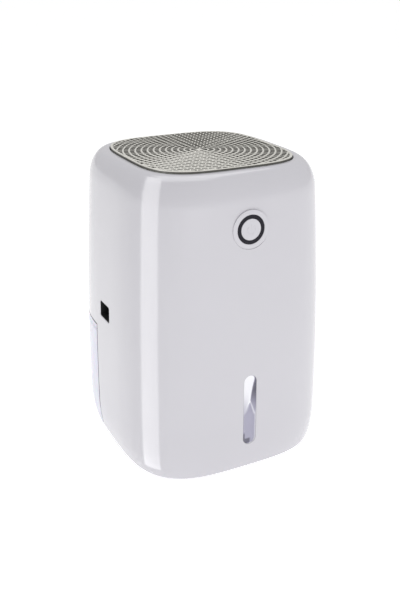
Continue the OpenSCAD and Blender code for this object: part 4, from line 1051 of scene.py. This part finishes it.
view = {"place": (-0.263586, -0.523555, 0.350647), "turn": 26.777, "pitch": 16.771, "lens": 49.717,
        "shift": -0.15, "sensor": 36, "near": 0.01}
studio = {"floor": 80.0, "floorColour": (0.95, 0.95, 0.95, 1), "floorRoughness": 0.9,
          "world": 0.57, "floorGlow": 0.46, "panelGlow": 3.1, "panelFar": 900,
          "panelAngles": (-143.3, -134.6), "panelHeights": (9, 190, 192), "fillPower": 4.0,
          "topPower": 4.8}
white = (1, 1, 1, 1)


def buildCamera():
    lens = bpy.data.cameras.new("camera")
    lens.lens = view["lens"]
    lens.sensor_width = view["sensor"]
    lens.shift_y = view["shift"]
    lens.clip_start = view["near"]
    camera = bpy.data.objects.new("camera", lens)
    camera.location = view["place"]
    camera.rotation_euler = (math.radians(90 - view["pitch"]), 0, -math.radians(view["turn"]))
    scene.collection.objects.link(camera)
    scene.camera = camera


def glowing(name, strength):
    material = bpy.data.materials.new(name)
    material.use_nodes = True
    surface = material.node_tree.nodes["Principled BSDF"]
    preset(surface, {"Emission Color": white, "Emission Strength": strength})
    return material, surface


def buildFloor():
    half = studio["floor"] / 2 * 1000
    floor = box("floor", (-half, half), (-half, half), (-20, 0))
    material, surface = glowing("paleFloor", studio["floorGlow"])
    preset(surface, {"Base Color": studio["floorColour"], "Roughness": studio["floorRoughness"]})
    floor.data.materials.append(material)


def onCorner(z, angle):
    # place on the casing at a height and a plan angle: the soft square in polar form
    n = casing["squareness"]
    reach = (np.abs(np.cos(angle) / halfWidth(z)) ** n
             + np.abs(np.sin(angle) / halfDepth(z)) ** n) ** (-1 / n)
    return np.stack([reach * np.cos(angle), reach * np.sin(angle), z + 0 * angle], -1)


def buildPanel():
    # panel: for a grid of heights and plan angles on the front left corner, the line of sight is
    # mirrored in the surface, r = d - 2 (d.n) n, and followed to the floor or the panel's distance
    foot, shoulder, crown = studio["panelHeights"]
    height = np.concatenate([np.linspace(foot, shoulder, 40),
                             np.linspace(crown, casingTop - 1.6, 40)])[:, None]
    angle = np.radians(np.linspace(*studio["panelAngles"], 9))[None, :]
    place = onCorner(height, angle)
    normal = np.cross(onCorner(height, angle + 1e-4) - place,
                      onCorner(height + 1e-3, angle) - place)
    normal /= np.linalg.norm(normal, axis=-1, keepdims=True)
    sight = place - np.array(view["place"]) * 1000
    mirrored = sight - 2 * (sight * normal).sum(-1, keepdims=True) * normal
    mirrored /= np.linalg.norm(mirrored, axis=-1, keepdims=True)
    down = np.clip(-mirrored[..., 2], 1e-6, None)
    far = np.minimum(studio["panelFar"], (place[..., 2] - 1) / down)
    points = place + mirrored * far[..., None]
    panel = makePiece("lightPanel", points.reshape(-1, 3), sheetQuads(height.size, angle.size),
                      smooth=False)
    panel.data.materials.append(glowing("panelGlow", studio["panelGlow"])[0])
    panel.visible_camera = panel.visible_diffuse = panel.visible_shadow = False


def buildWorld():
    # soft even light, and plain white where the camera looks past the floor
    world = bpy.data.worlds.new("studioWorld")
    world.use_nodes = True
    tree = world.node_tree
    soft, backdrop = tree.nodes["Background"], addNode(tree, "Background", {"Color": white})
    preset(soft, {"Color": white, "Strength": studio["world"]})
    seen, choose = addNode(tree, "LightPath"), addNode(tree, "MixShader")
    wire(tree, (seen.outputs["Is Camera Ray"], choose.inputs[0]),
         (soft.outputs[0], choose.inputs[1]),
         (backdrop.outputs[0], choose.inputs[2]),
         (choose.outputs[0], tree.nodes["World Output"].inputs["Surface"]))
    scene.world = world


def addLight(name, place, target, size, power):
    data = bpy.data.lights.new(name, "AREA")
    data.shape = "RECTANGLE"
    data.size, data.size_y = size
    data.energy = power
    lamp = bpy.data.objects.new(name, data)
    lamp.location = place
    lamp.rotation_euler = (Vector(target) - Vector(place)).to_track_quat("-Z", "Y").to_euler()
    scene.collection.objects.link(lamp)
    return lamp


buildCamera()
buildFloor()
buildPanel()
buildWorld()
addLight("topLight", (0.1, 0.2, 1.2), (0, 0, 0.1), (0.9, 0.9), studio["topPower"])
fill = addLight("frontFill", (0.0, -1.35, 0.12), (0, 0, 0.08), (0.8, 0.8), studio["fillPower"])
fill.visible_glossy = False
scene.view_settings.view_transform = "Standard"
print("studio ready")
